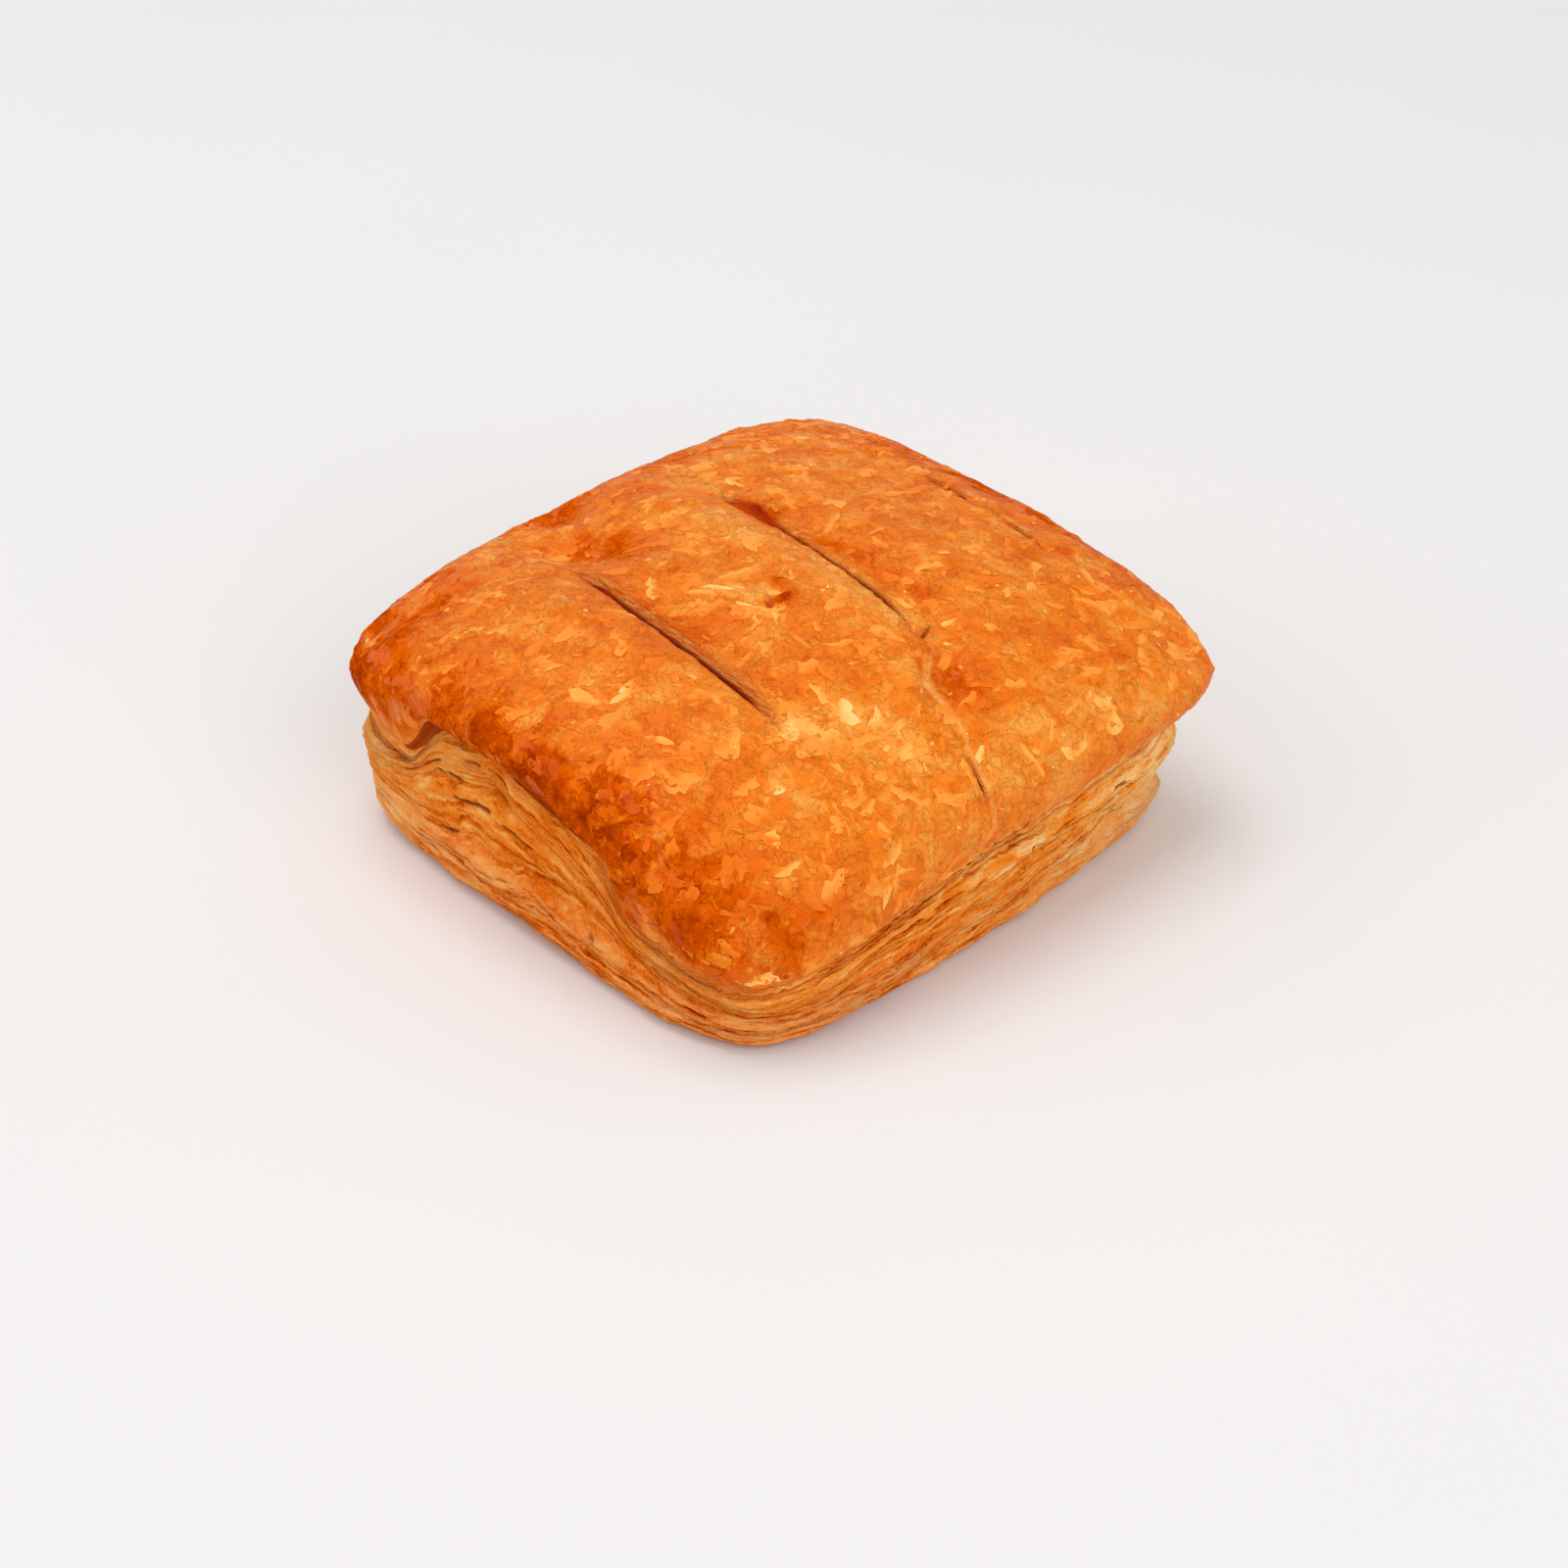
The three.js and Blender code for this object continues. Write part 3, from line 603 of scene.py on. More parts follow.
def crust_relief(points, torn, painted_shade):
    """Height of blisters, scales and wrinkles on the crust, its browning, and how strongly it is
    mottled. The browning is partly painted light and shade: browner in troughs and hollows, paler on
    crests, and each scale paler on the side its tilt raises. It is also paler where the wrinkles rise."""
    warp = np.stack([layered_noise(points / 6, seed, 2) for seed in (21, 22, 23)], 1)
    warped = points + 1.3 * warp
    large, large_offset = scales(warped, LARGE_SCALES["size"], 31)
    small, small_offset = scales(warped + 0.4 * warp[:, ::-1], SMALL_SCALES["size"], 32)
    large_tilt = large_offset @ np.array(LARGE_SCALES["tilt"])
    small_tilt = small_offset @ np.array(SMALL_SCALES["tilt"])
    plates = (LARGE_SCALES["height"] * large_tilt * (LARGE_SCALES["least"] + large)
              + SMALL_SCALES["height"] * small_tilt * (SMALL_SCALES["least"] + small))
    swells = SOFT_SWELLS["height"] * layered_noise(points / SOFT_SWELLS["size"], 41, 2)
    bubbles = np.maximum(0, layered_noise(points / BLISTERS["size"], 43, 2))
    blisters = BLISTERS["height"] * bubbles ** BLISTERS["sharpness"]
    grain = GRAIN["height"] * layered_noise(points / GRAIN["size"], 47, 2)
    wrinkles = crust_wrinkles(points)
    height = swells + blisters + plates + grain + wrinkles
    height *= 1 - FLATTER_IN_CUTS * np.maximum(torn, painted_shade)
    brown = np.full(len(points), PLAIN_CRUST)
    for x, y, z, radius_x, radius_y, radius_z, amount in BROWNING_AND_SHADING:
        brown += amount * nearness(points, (x, y, z), (radius_x, radius_y, radius_z))
    mottled = MOTTLED[0] + MOTTLED[1] * np.clip(brown - PLAIN_CRUST, 0, 0.4)
    # Each scale is paler where its tilt raises it and browner where it sinks: painted light and shade.
    patches = 0.16 * layered_noise(points / 8, 51, 3) + 0.1 * (large - 0.5) - 0.1 * large_tilt
    patches += 0.08 * (small - 0.5) - 0.06 * small_tilt
    brown += mottled * patches - 0.3 * wrinkles
    return height, brown, mottled


# Swirls in the layers: place round the rim, level from 0 at the crust's edge to 1 at the foot,
# their radii, and how many sheets they bend.
SWIRLS = [
    (0.84, 0.33, 0.34, 0.2, 2.0), (0.5, 0.52, 0.2, 0.14, -0.7), (1.35, 0.5, 0.3, 0.1, 1.2),
    (2.6, 0.62, 0.2, 0.1, -1.3), (3.55, 0.6, 0.2, 0.12, 1.6), (4.6, 0.35, 0.3, 0.12, 2.2),
    (5.5, 0.6, 0.2, 0.1, -1.6), (6.4, 0.4, 0.25, 0.12, 2.0), (7.3, 0.55, 0.2, 0.1, -1.8),
]

# Coarse crumbly parts of the layers: place round the rim, level, and radii.
CRUMBLY = [
    (1.72, 0.2, 0.25, 0.35), (0.1, 0.25, 0.38, 0.28), (3.7, 0.75, 0.35, 0.14), (5.2, 0.3, 0.3, 0.2),
    (6.9, 0.35, 0.25, 0.25),
]

# Painted shade right under the crust's edge, in dark strips: place round the rim, half their length, and
# height.
EDGE_SHADE_STRIPS = [
    (0.7, 0.3, 0.17), (1.15, 0.36, 0.15), (2.92, 0.2, 0.12), (2.55, 0.12, 0.1), (4.4, 0.3, 0.08),
]

# Keeps the soft end of a strip of painted shade from having no height at all.
LEAST_EDGE_SHADE = 0.004

# How the sheets wave: length along the rim, how often they change down the side, seed of the
# noise, and height in sheets.
SHEET_WAVES = [(30, 2.0, 61, 1.1), (10, 5, 63, 0.3), (2.6, 12, 65, 0.12)]

# How far apart two sheets are in the noise that gives each its own, and their relief in
# millimetres.
SHEET_JUMP = 7.31
LAYER_RELIEF = {"ridge": 0.32, "stand_out": 0.5, "fine": 0.1, "crumb": 0.28, "sunk": 0.15}


def edge_shade_strips(turn, level):
    """1 in the strips of painted shade under the crust's edge and 0 away from them."""
    edge_shade = np.zeros_like(turn)
    for centre, half_turn, height in EDGE_SHADE_STRIPS:
        from_centre = turn_from(turn, centre) / half_turn
        reach = height * np.clip(1 - from_centre ** 2, 0, 1)
        edge_shade = np.maximum(edge_shade, 1 - ease(level, 0.7 * reach, reach + LEAST_EDGE_SHADE))
    return edge_shade * (level > 0)


def rim_patch(turn, level, patch):
    """1 at a patch's middle, falling to 0 outside its radii."""
    centre_turn, centre_level, half_turn, half_level = patch
    from_centre = turn_from(turn, centre_turn)
    return np.exp(-(from_centre / half_turn) ** 2 - ((level - centre_level) / half_level) ** 2)


def layer_relief(fields):
    """Relief of the flaky layers, with the fields that colour them."""
    level, turn = fields["level"], fields["turn"]

    def rim_noise(length, down, seed):
        spots = np.stack([fields["rim_x"] / length, fields["rim_y"] / length, down], 1)
        return layered_noise(spots, seed, 2)

    stack = SHEETS * level
    for length, changes, seed, height in SHEET_WAVES:
        stack = stack + height * rim_noise(length, level * changes, seed)
    for centre_turn, centre_level, half_turn, half_level, amount in SWIRLS:
        stack += amount * rim_patch(turn, level, (centre_turn, centre_level, half_turn, half_level))
    stack += 0.2 * np.sin(2.1 * stack)
    crumbly = sum(rim_patch(turn, level, patch) for patch in CRUMBLY)
    crumbly = np.clip(crumbly + 0.25 * rim_noise(5, level * 5, 62), 0, 1)
    sheet = np.floor(stack)
    inside = stack - sheet
    stand_out = rim_noise(9, sheet * SHEET_JUMP, 67)
    gap = ease(rim_noise(8, sheet * SHEET_JUMP, 69), 0.2, 0.42) * between(inside, 0.55, 1.0, 0.2)
    ridge = 1 - np.abs(2 * inside - 1) ** 2
    fine = rim_noise(2.2, level * (SHEETS * 5), 71)
    crumb = rim_noise(1.1, level * (SHEETS * 2), 73)
    flaky = 1 - 0.8 * crumbly
    fade = ease(level, 0.04, 0.14) * (1 - ease(level, 0.94, 1.0))
    flakes = LAYER_RELIEF["ridge"] * ridge + LAYER_RELIEF["stand_out"] * stand_out - gap
    relief = (flaky * flakes + LAYER_RELIEF["fine"] * fine + LAYER_RELIEF["crumb"] * crumbly * crumb
              - LAYER_RELIEF["sunk"])
    # Painted shade in the gaps between sheets and under the crust's edge.
    painted_shade = np.maximum(gap * fade * flaky, edge_shade_strips(turn, level))
    colours = {"stack": stack, "stand_out": stand_out, "gap": painted_shade, "crumbly": crumbly}
    return relief * fade, colours


# How pale the layers are: round the rim in the order of the other rim lists, and down them. Down
# them, the darker top is painted shade under the crust's edge; they are also darker at the waist
# and towards the foot.
LAYER_PALENESS = [0.72, 0.49, 0.55, 0.58, 0.92, 0.62, 0.54, 0.54]
LEVEL_PALENESS_AND_SHADE = (
    [0, 0.04, 0.15, 0.42, 0.55, 0.64, 0.76, 0.9, 1],
    [-0.1, -0.02, 0, 0, -0.1, 0.01, -0.02, -0.07, -0.2],
)

# How peach the layers are: down them, and round the rim as a share of that.
LEVEL_PEACH = ([0.0, 0.2, 0.5, 0.6, 0.7, 0.86, 1], [0.16, 0.1, 0.06, 0.3, 0.4, 0.3, 0.14])
PEACH = [1.4, 1.1, 1.5, 0.5, 1.1, 1.0, 1.0, 1.0]

# How softly the crust's colour fades at its lower edge, in millimetres.
EDGE_FADE = 0.22

# Flakes that stand out on the crust: x, y, height, length, width and turn.
FLAKES = [
    (9.6, -48.2, 30.6, 6.5, 1.7, 1.5), (4.6, -39.8, 36.1, 6.5, 3.2, 0.4),
    (7.9, -34.9, 37.1, 4.5, 2.6, 1.2), (46, -23.7, 19.4, 4.2, 2.0, 1.0),
    (44.6, -32.1, 21.1, 6, 3.4, 0.9), (42.4, -43.6, 12.6, 5.2, 3, 0.2),
    (28, -48.4, 14.8, 5, 1.5, 1.4), (42.3, -1.8, 28.7, 3.2, 1.6, 0.9),
    (-28.9, -11, 35.7, 3.2, 1.6, 0.2), (-1.5, -10.5, 39, 6, 1.3, 0.5),
    (27.8, -22.6, 36, 2.8, 1.4, -0.2), (-9, -15.5, 38.5, 5, 2.4, -0.3),
    (6.8, -11.6, 38.5, 3.6, 1.4, -0.4), (14.5, 17.5, 38.5, 3.2, 1.6, 0.5),
    (12, 20.5, 38.5, 2.6, 1.3, 0.7), (17, -38, 35, 3.6, 2.0, 0.6), (37, -36, 29, 2.6, 1.6, 0.3),
    (40.5, -37, 26, 3.4, 1.8, 0.8), (24, 10.5, 37, 2.6, 1.4, 1.4), (-14, 9.5, 39, 3.4, 1.6, -0.2),
    (33, -30, 31.5, 2.6, 1.3, 0.2), (2.6, -6.5, 40, 2.6, 1.2, 1.3), (8.6, -7.0, 39, 2.4, 1.1, 1.8),
    (5.5, -10.5, 39, 3.4, 1.0, 0.1), (4.2, -3.2, 40, 3.0, 1.0, 0.0), (0.5, -8.4, 39, 2.2, 1.2, 0.6),
    (9.8, -10, 39, 2.6, 1.1, -0.5),
]

# How much paler than the crust those flakes are, as a tone that is negative where paler.
FLAKE_TONE = -0.28

# Random flakes: how many, shortest and longest, how strongly short ones outnumber long ones,
# and how much paler than the crust the least and the most pale are.
PETALS = {"count": 1000, "least": 1.2, "most": 5.5, "skew": 1.6, "tone": (-0.02, -0.19)}
SPECKS = {"count": 190, "least": 0.4, "most": 1.6, "skew": 2.0, "tone": (-0.16, -0.4)}
FLAKE_SEED = 83

# How far a flake's edge stands out at least and at most, how deep its underside is sunk, how far
# the crust may fall away under it, and how far out the crust under it is looked for.
FLAKE_LIFT = (0.05, 0.13)
FLAKE_SUNK = 0.12
FLAKE_BEND = 1.0
FLAKE_PROBE = 2.5

# How much of a flake's tone its sunk edge shows. It is negative, for a browner outline.
FLAKE_RIM = -1.5

# Corners of a flake's outline, more where it is longer than the given length.
LARGE_FLAKE = {"length": 2.2, "corners": 16}
SMALL_FLAKE_CORNERS = 9


def flake_spots(shell, clear, draw):
    """Where each flake lies, its length, width and turn, and how much paler than the crust it is."""
    spots = []
    for family in (PETALS, SPECKS):
        for place in draw.choice(clear, family["count"], replace=False):
            length = lerp(family["least"], family["most"], draw.random() ** family["skew"])
            width = length * draw.uniform(0.35, 0.75)
            tone = lerp(*family["tone"], draw.random())
            spots.append((Vector(shell.points[place]), length, width, draw.uniform(0, math.pi), tone))
    spots += [(Vector(flake[:3]), *flake[3:], FLAKE_TONE) for flake in FLAKES]
    return spots


def build_flakes(shell, torn):
    """Thin irregular flakes of the crust. Each is a closed chip with one edge that stands out
    and one that is sunk in the crust."""
    draw = np.random.default_rng(FLAKE_SEED)
    tree = BVHTree.FromPolygons(shell.points.tolist(), shell.crust_faces.tolist())
    clear = np.flatnonzero((torn < 0.05) & (shell.fields["skin"] > 1.0))
    points, faces, shades = [], [], []
    for place, length, width, turn, tone in flake_spots(shell, clear, draw):
        centre, facing, face, _ = tree.find_nearest(place)
        count = LARGE_FLAKE["corners"] if length > LARGE_FLAKE["length"] else SMALL_FLAKE_CORNERS
        rings, raised = flake_rings(tree, centre, facing, length, width, turn, count, draw)
        if rings is None:
            continue
        brown = shell.fields["brown"][shell.crust_faces[face][0]]
        first = len(points)
        points += rings
        shades += [brown + tone * share for share in raised]
        faces += chip_faces(first, count)
    return mesh_piece("flakes", np.array(points), faces, {"brown": np.array(shades)}, smooth=False)


def flake_rings(tree, centre, facing, length, width, turn, count, draw):
    """Points of a flake's centre, inner ring, edge and underside, laid on the crust under it,
    and how fully each shows the flake's own colour. None where it would cross a slit."""
    side = facing.cross(Vector((0, 0, 1)) if abs(facing.z) < 0.9 else Vector((0, 1, 0))).normalized()
    up = facing.cross(side)
    waves = draw.uniform(0, 2 * math.pi, 3)
    curl = draw.uniform(0, 2 * math.pi)
    lift = draw.uniform(*FLAKE_LIFT)
    angles = np.arange(count) * 2 * math.pi / count
    reach = 1 + 0.28 * np.sin(2 * angles + waves[0]) + 0.2 * np.sin(3 * angles + waves[1])
    reach += 0.16 * np.sin(5 * angles + waves[2]) + draw.uniform(-0.14, 0.14, count)
    points, own = [], []
    for share, sunk in ((0, False), (0.55, False), (1, False), (1, True), (0, True)):
        for angle, radius in zip(angles[:1] if share == 0 else angles, reach):
            a = share * radius * length / 2 * math.cos(angle)
            b = share * radius * width / 2 * math.sin(angle)
            offset = side * (a * math.cos(turn) - b * math.sin(turn))
            offset += up * (a * math.sin(turn) + b * math.cos(turn))
            start = centre + offset + facing * FLAKE_PROBE
            hit, _, _, _ = tree.ray_cast(start, -facing, 2 * FLAKE_PROBE)
            if hit is None or abs((hit - centre).dot(facing)) > FLAKE_BEND:
                return None, None
            lean = 0.3 + 0.9 * share * math.cos(angle - curl)
            points.append(tuple(hit + facing * (-FLAKE_SUNK - lift if sunk else lift * lean)))
            own.append(FLAKE_RIM if sunk else min(max(2 * lean, 0), 1))
    return points, own


def chip_faces(first, count):
    """Faces of a closed chip with a centre point, three rings and a point underneath."""
    inner, edge, under = (first + 1 + k * count for k in range(3))
    last = first + 1 + 3 * count
    faces = []
    for k in range(count):
        after = (k + 1) % count
        faces.append((first, inner + k, inner + after))
        faces.append((inner + k, edge + k, edge + after, inner + after))
        faces.append((edge + k, under + k, under + after, edge + after))
        faces.append((under + k, last, under + after))
    return faces


def add_object(name, data):
    new = bpy.data.objects.new(name, data)
    bpy.context.scene.collection.objects.link(new)
    return new


def mesh_piece(name, points, faces, fields, smooth=True):
    """A mesh object from points and faces in millimetres, with its fields as attributes."""
    mesh = bpy.data.meshes.new(name)
    mesh.from_pydata((points * MM).tolist(), [], faces)
    for field, values in fields.items():
        mesh.attributes.new(field, "FLOAT", "POINT").data.foreach_set("value", values.astype(np.float32))
    mesh.polygons.foreach_set("use_smooth", np.full(len(mesh.polygons), smooth))
    mesh.update()
    return add_object(name, mesh)


def shell_piece(name, points, faces, fields, hub=None):
    """A mesh piece from some of the shell's faces, closed with a fan round a hub if given."""
    used, renumbered = np.unique(faces, return_inverse=True)
    polygons = renumbered.reshape(faces.shape).tolist()
    points = points[used]
    fields = {field: values[used] for field, values in fields.items()}
    if hub is not None:
        ring, centre = hub
        ring = np.searchsorted(used, ring).tolist()
        points = np.concatenate([points, [centre]])
        polygons += [[ring[k], len(points) - 1, ring[(k + 1) % len(ring)]] for k in range(len(ring))]
        fields = {field: np.concatenate([values, values[-1:]]) for field, values in fields.items()}
    return mesh_piece(name, points, polygons, fields)


def srgb(red, green, blue):
    """A colour as it is seen on screen, from 0 to 255, in linear light."""
    def linear(value):
        value /= 255
        return value / 12.92 if value <= 0.04045 else ((value + 0.055) / 1.055) ** 2.4
    return (linear(red), linear(green), linear(blue), 1)


# From metres to millimetres in a material, and the axis that painted flakes are turned about.
MILLIMETRES = (1000, 1000, 1000)
PETAL_AXIS = (0.35, 0.5, 0.8)


class Graph:
    """A material's nodes. Inputs are constants or other nodes' outputs."""

    def __init__(self, name):
        self.material = bpy.data.materials.new(name)
        self.material.use_nodes = True
        self.tree = self.material.node_tree
        self.tree.nodes.clear()

    def add(self, kind, inputs=None, **settings):
        node = self.tree.nodes.new("ShaderNode" + kind)
        for key, value in settings.items():
            setattr(node, key, value)
        for key, value in (inputs or {}).items():
            if isinstance(value, bpy.types.NodeSocket):
                self.tree.links.new(value, node.inputs[key])
            else:
                node.inputs[key].default_value = value
        return node

    def math(self, operation, a, b=0.0):
        return self.add("Math", {0: a, 1: b}, operation=operation).outputs[0]

    def times(self, a, b):
        return self.math("MULTIPLY", a, b)

    def add_up(self, *terms):
        """Sum of values, each given alone or with a factor."""
        total = 0.0
        for term in terms:
            value, factor = term if isinstance(term, tuple) else (term, 1.0)
            inputs = {0: value, 1: factor, 2: total}
            total = self.add("Math", inputs, operation="MULTIPLY_ADD").outputs[0]
        return total

    def vector(self, operation, a, b):
        return self.add("VectorMath", {0: a, 1: b}, operation=operation).outputs[0]

    def scaled(self, vector, factors):
        return self.vector("MULTIPLY", vector, factors)

    def noise(self, vector, scale, detail=3.0, roughness=0.55, distortion=0.0, output=0):
        inputs = {"Vector": vector, "Scale": scale, "Detail": detail, "Roughness": roughness,
                  "Distortion": distortion}
        return self.add("TexNoise", inputs).outputs[output]

    def centred(self, value):
        return self.math("SUBTRACT", value, 0.5)

    def field(self, name):
        return self.add("Attribute", attribute_name=name).outputs["Fac"]

    def ramp(self, factor, stops):
        node = self.add("ValToRGB", {"Fac": factor})
        elements = node.color_ramp.elements
        for _ in range(len(stops) - 2):
            elements.new(0.5)
        for element, (place, colour) in zip(elements, stops):
            element.position = place
            element.color = colour
        return node.outputs["Color"]

    def step(self, factor, start, end):
        """0 where factor is below start, 1 above end. Start may be the higher one."""
        inputs = {"Value": factor, "From Min": start, "From Max": end}
        return self.add("MapRange", inputs, interpolation_type="SMOOTHSTEP").outputs["Result"]

    def mix(self, factor, first, second):
        inputs = {"Fac": factor, "Color1": first, "Color2": second}
        return self.add("MixRGB", inputs).outputs["Color"]

    def place(self):
        """The shaded point, in millimetres."""
        return self.scaled(self.add("TexCoord").outputs["Object"], MILLIMETRES)

    def bent(self, place, scale, amount):
        """A place moved about by noise."""
        shift = self.noise(place, scale, 2, output=1)
        shift = self.vector("SUBTRACT", shift, (0.5, 0.5, 0.5))
        return self.vector("ADD", place, self.scaled(shift, (amount, amount, amount)))

    def petals(self, place, size, stretch, turn, cover, metric):
        """Scattered flake shapes: where they are from 0 to 1, the dark line round them, and a
        random number for each."""
        inputs = {"Vector": place, "Axis": PETAL_AXIS, "Angle": turn}
        turned = self.add("VectorRotate", inputs).outputs[0]
        cell_place = self.scaled(turned, (1 / size, 1 / (size * stretch), 1 / size))
        cells = self.add("TexVoronoi", {"Vector": cell_place, "Scale": 1.0}, distance=metric)
        channels = self.add("SeparateColor", {0: cells.outputs["Color"]})
        chosen = self.step(channels.outputs[0], 1 - cover - 0.01, 1 - cover)
        limit = self.add_up(0.24, (channels.outputs[1], 0.26))
        beyond = self.math("SUBTRACT", cells.outputs["Distance"], limit)
        inside = self.times(self.step(beyond, 0.03, -0.01), chosen)
        line = self.times(self.step(beyond, 0.12, 0.03), chosen)
        return inside, self.math("SUBTRACT", line, inside), channels.outputs[2]

    def finish(self, inputs):
        surface = self.add("BsdfPrincipled", inputs)
        self.add("OutputMaterial", {"Surface": surface.outputs["BSDF"]})
        return self.material


CRUST_TONES = [
    (0.0, srgb(252, 204, 124)), (0.18, srgb(246, 164, 68)), (0.4, srgb(235, 122, 18)),
    (0.58, srgb(221, 94, 5)), (0.76, srgb(194, 70, 1)), (1.0, srgb(156, 48, 0)),
]
PALE_CRUST = srgb(250, 188, 104)
TORN_LIGHT = srgb(254, 160, 74)
TORN_DARK = srgb(230, 98, 10)
# Painted shade deep in the cuts, the notch and the pit.
SLIT_SHADE = srgb(144, 26, 1)
MOUTH_GLOW = srgb(232, 90, 8)
LAYER_TONES = [
    (0.0, srgb(164, 50, 1)), (0.22, srgb(204, 80, 3)), (0.48, srgb(238, 121, 18)),
    (0.7, srgb(249, 160, 62)), (1.0, srgb(254, 214, 146)),
]
PEACH_TONE = srgb(246, 172, 108)
CRUMB_TONE = srgb(216, 134, 74)
# Painted shade for the gaps between sheets and under the crust's edge.
GAP_SHADE = srgb(150, 40, 1)

# Painted flakes of the crust: size, stretch, turn, the share of cells that show one, and how a
# cell measures distance. Then how much browner they are, or paler where negative, how much of their
# random number is added to that, how much browner their outline is, and their height in the bump.
PAINTED_FLAKES = [
    (6.5, 1.7, 0.6, 0.55, "EUCLIDEAN", -0.14, 0.2, 0.06, 0.4),
    (3.6, 1.9, 2.1, 0.5, "MANHATTAN", -0.18, 0.2, 0.1, 0.5),
    (2.1, 1.8, 3.9, 0.35, "MANHATTAN", -0.16, 0.1, 0.06, 0.4),
]

# Peeled, stained and glinting patches of the crust: stretch, scale, detail and distortion of their
# noise, where in it they start and end, how much browner they are, and their height in the bump.
PAINTED_PATCHES = [
    ((0.5, 0.28, 0.4), 1.0, 3, 1.4, (0.55, 0.58), -0.07, 0.4),
    ((0.32, 0.5, 0.4), 1.3, 3, 1.6, (0.56, 0.6), 0.09, -0.3),
    ((1.0, 0.6, 0.8), 1.2, 2, 1.2, (0.62, 0.65), -0.12, 0.4),
]

# The crust has a weak sheen, which fades out where it is browner than these two values.
SHEEN = 0.1
MATTE_TO_GLAZED = (0.64, 0.48)


def crust_colour(g, place):
    """Colour, bump height and roughness of the browned crust."""
    brown, torn, painted_shade = g.field("brown"), g.field("torn"), g.field("painted_shade")
    bent = g.bent(g.bent(place, 0.28, 3.2), 1.2, 0.9)
    mottle = g.noise(bent, 0.3, 4, 0.6)
    speckle = g.noise(bent, 1.3, 4, 0.6)
    flakes, spots, heights = [], [], []
    for size, stretch, turn, cover, metric, browner, own, outline, rise in PAINTED_FLAKES:
        inside, line, number = g.petals(bent, size, stretch, turn, cover, metric)
        spots += [g.times(inside, g.add_up(browner, (number, own))), (line, outline)]
        heights.append((inside, rise))
        flakes.append(inside)
    for stretch, scale, detail, distortion, edge, browner, rise in PAINTED_PATCHES:
        patch = g.step(g.noise(g.scaled(bent, stretch), scale, detail, 0.5, distortion), *edge)
        spots.append((patch, browner))
        heights.append((patch, rise))
    _, sharp, _ = flakes
    spots = g.add_up(*spots, (g.centred(mottle), 0.5), (g.centred(speckle), 0.25))
    tone = g.add_up(brown, (spots, g.field("mottled")))
    colour = g.ramp(tone, CRUST_TONES)
    colour = g.mix(g.times(g.step(g.field("ridge"), 0.2, 0.9), 0.4), colour, PALE_CRUST)
    fibre = g.noise(g.scaled(place, (0.25, 2.6, 2.6)), 1.0, 4, 0.7)
    torn_tone = g.mix(g.step(fibre, 0.38, 0.62), TORN_DARK, TORN_LIGHT)
    torn_tone = g.mix(g.field("glow"), torn_tone, MOUTH_GLOW)
    colour = g.mix(torn, colour, torn_tone)
    # Painted shade in the cuts, the notch and the pit.
    colour = g.mix(painted_shade, colour, SLIT_SHADE)
    height = g.add_up(*heights, (speckle, 0.5), (fibre, g.times(torn, 2.5)))
    roughness = g.add_up(0.3, (mottle, 0.2), (sharp, 0.06))
    return colour, height, roughness


def layer_colour(g, place):
    """Colour and bump height of the flaky layers."""
    inputs = {"X": g.field("rim_x"), "Y": g.field("rim_y"), "Z": g.field("stack")}
    flow = g.add("CombineXYZ", inputs).outputs[0]
    gap, crumbly = g.field("gap"), g.field("crumbly")

    def along_sheets(stretch, detail, roughness, distortion=0.0):
        return g.noise(g.scaled(flow, stretch), 1.0, detail, roughness, distortion)

    broad = along_sheets((0.1, 0.1, 0.5), 4, 0.6)
    streaks = along_sheets((0.12, 0.12, 1.6), 4, 0.65, 0.2)
    threads = along_sheets((0.25, 0.25, 3.0), 3, 0.65, 0.2)
    waver = along_sheets((0.3, 0.3, 0.4), 3, 0.6)
    crumb = g.noise(place, 1.8, 4, 0.75)
    pores = g.noise(place, 0.7, 4, 0.7, 0.6)
    seam = g.math("FRACT", g.add_up(g.field("stack"), waver))
    from_seam = g.math("ABSOLUTE", g.centred(seam))
    shown = g.step(along_sheets((0.14, 0.14, 0.9), 2, 0.5), 0.44, 0.54)
    seams = g.times(g.step(from_seam, 0.17, 0.07), shown)
    seam_edges = g.times(g.step(from_seam, 0.36, 0.26), shown)
    fine = g.math("SUBTRACT", 1.0, g.times(crumbly, 0.7))
    lines = g.add_up((g.centred(streaks), 0.7), (g.centred(threads), 0.6), (seams, -0.24),
                     (seam_edges, 0.1), (g.step(threads, 0.4, 0.36), -0.1),
                     (g.step(streaks, 0.58, 0.61), 0.1))
    tone = g.add_up(g.field("paleness"), (g.centred(broad), 0.5), (lines, fine),
                    (g.centred(crumb), 0.6), (g.times(g.centred(pores), crumbly), 0.9))
    colour = g.ramp(tone, LAYER_TONES)
    peach = g.times(g.field("peach"), g.step(tone, 0.3, 0.65))
    colour = g.mix(peach, colour, PEACH_TONE)
    crumbs = g.times(g.times(crumbly, 0.4), g.step(tone, 0.3, 0.6))
    colour = g.mix(crumbs, colour, CRUMB_TONE)
    # Painted shade in the gaps between sheets and under the crust's edge.
    colour = g.mix(g.times(g.step(gap, 0.2, 0.8), 0.85), colour, GAP_SHADE)
    height = g.add_up((streaks, 1.4), (threads, 1.6), (crumb, 0.9), (seams, -0.8))
    return colour, height


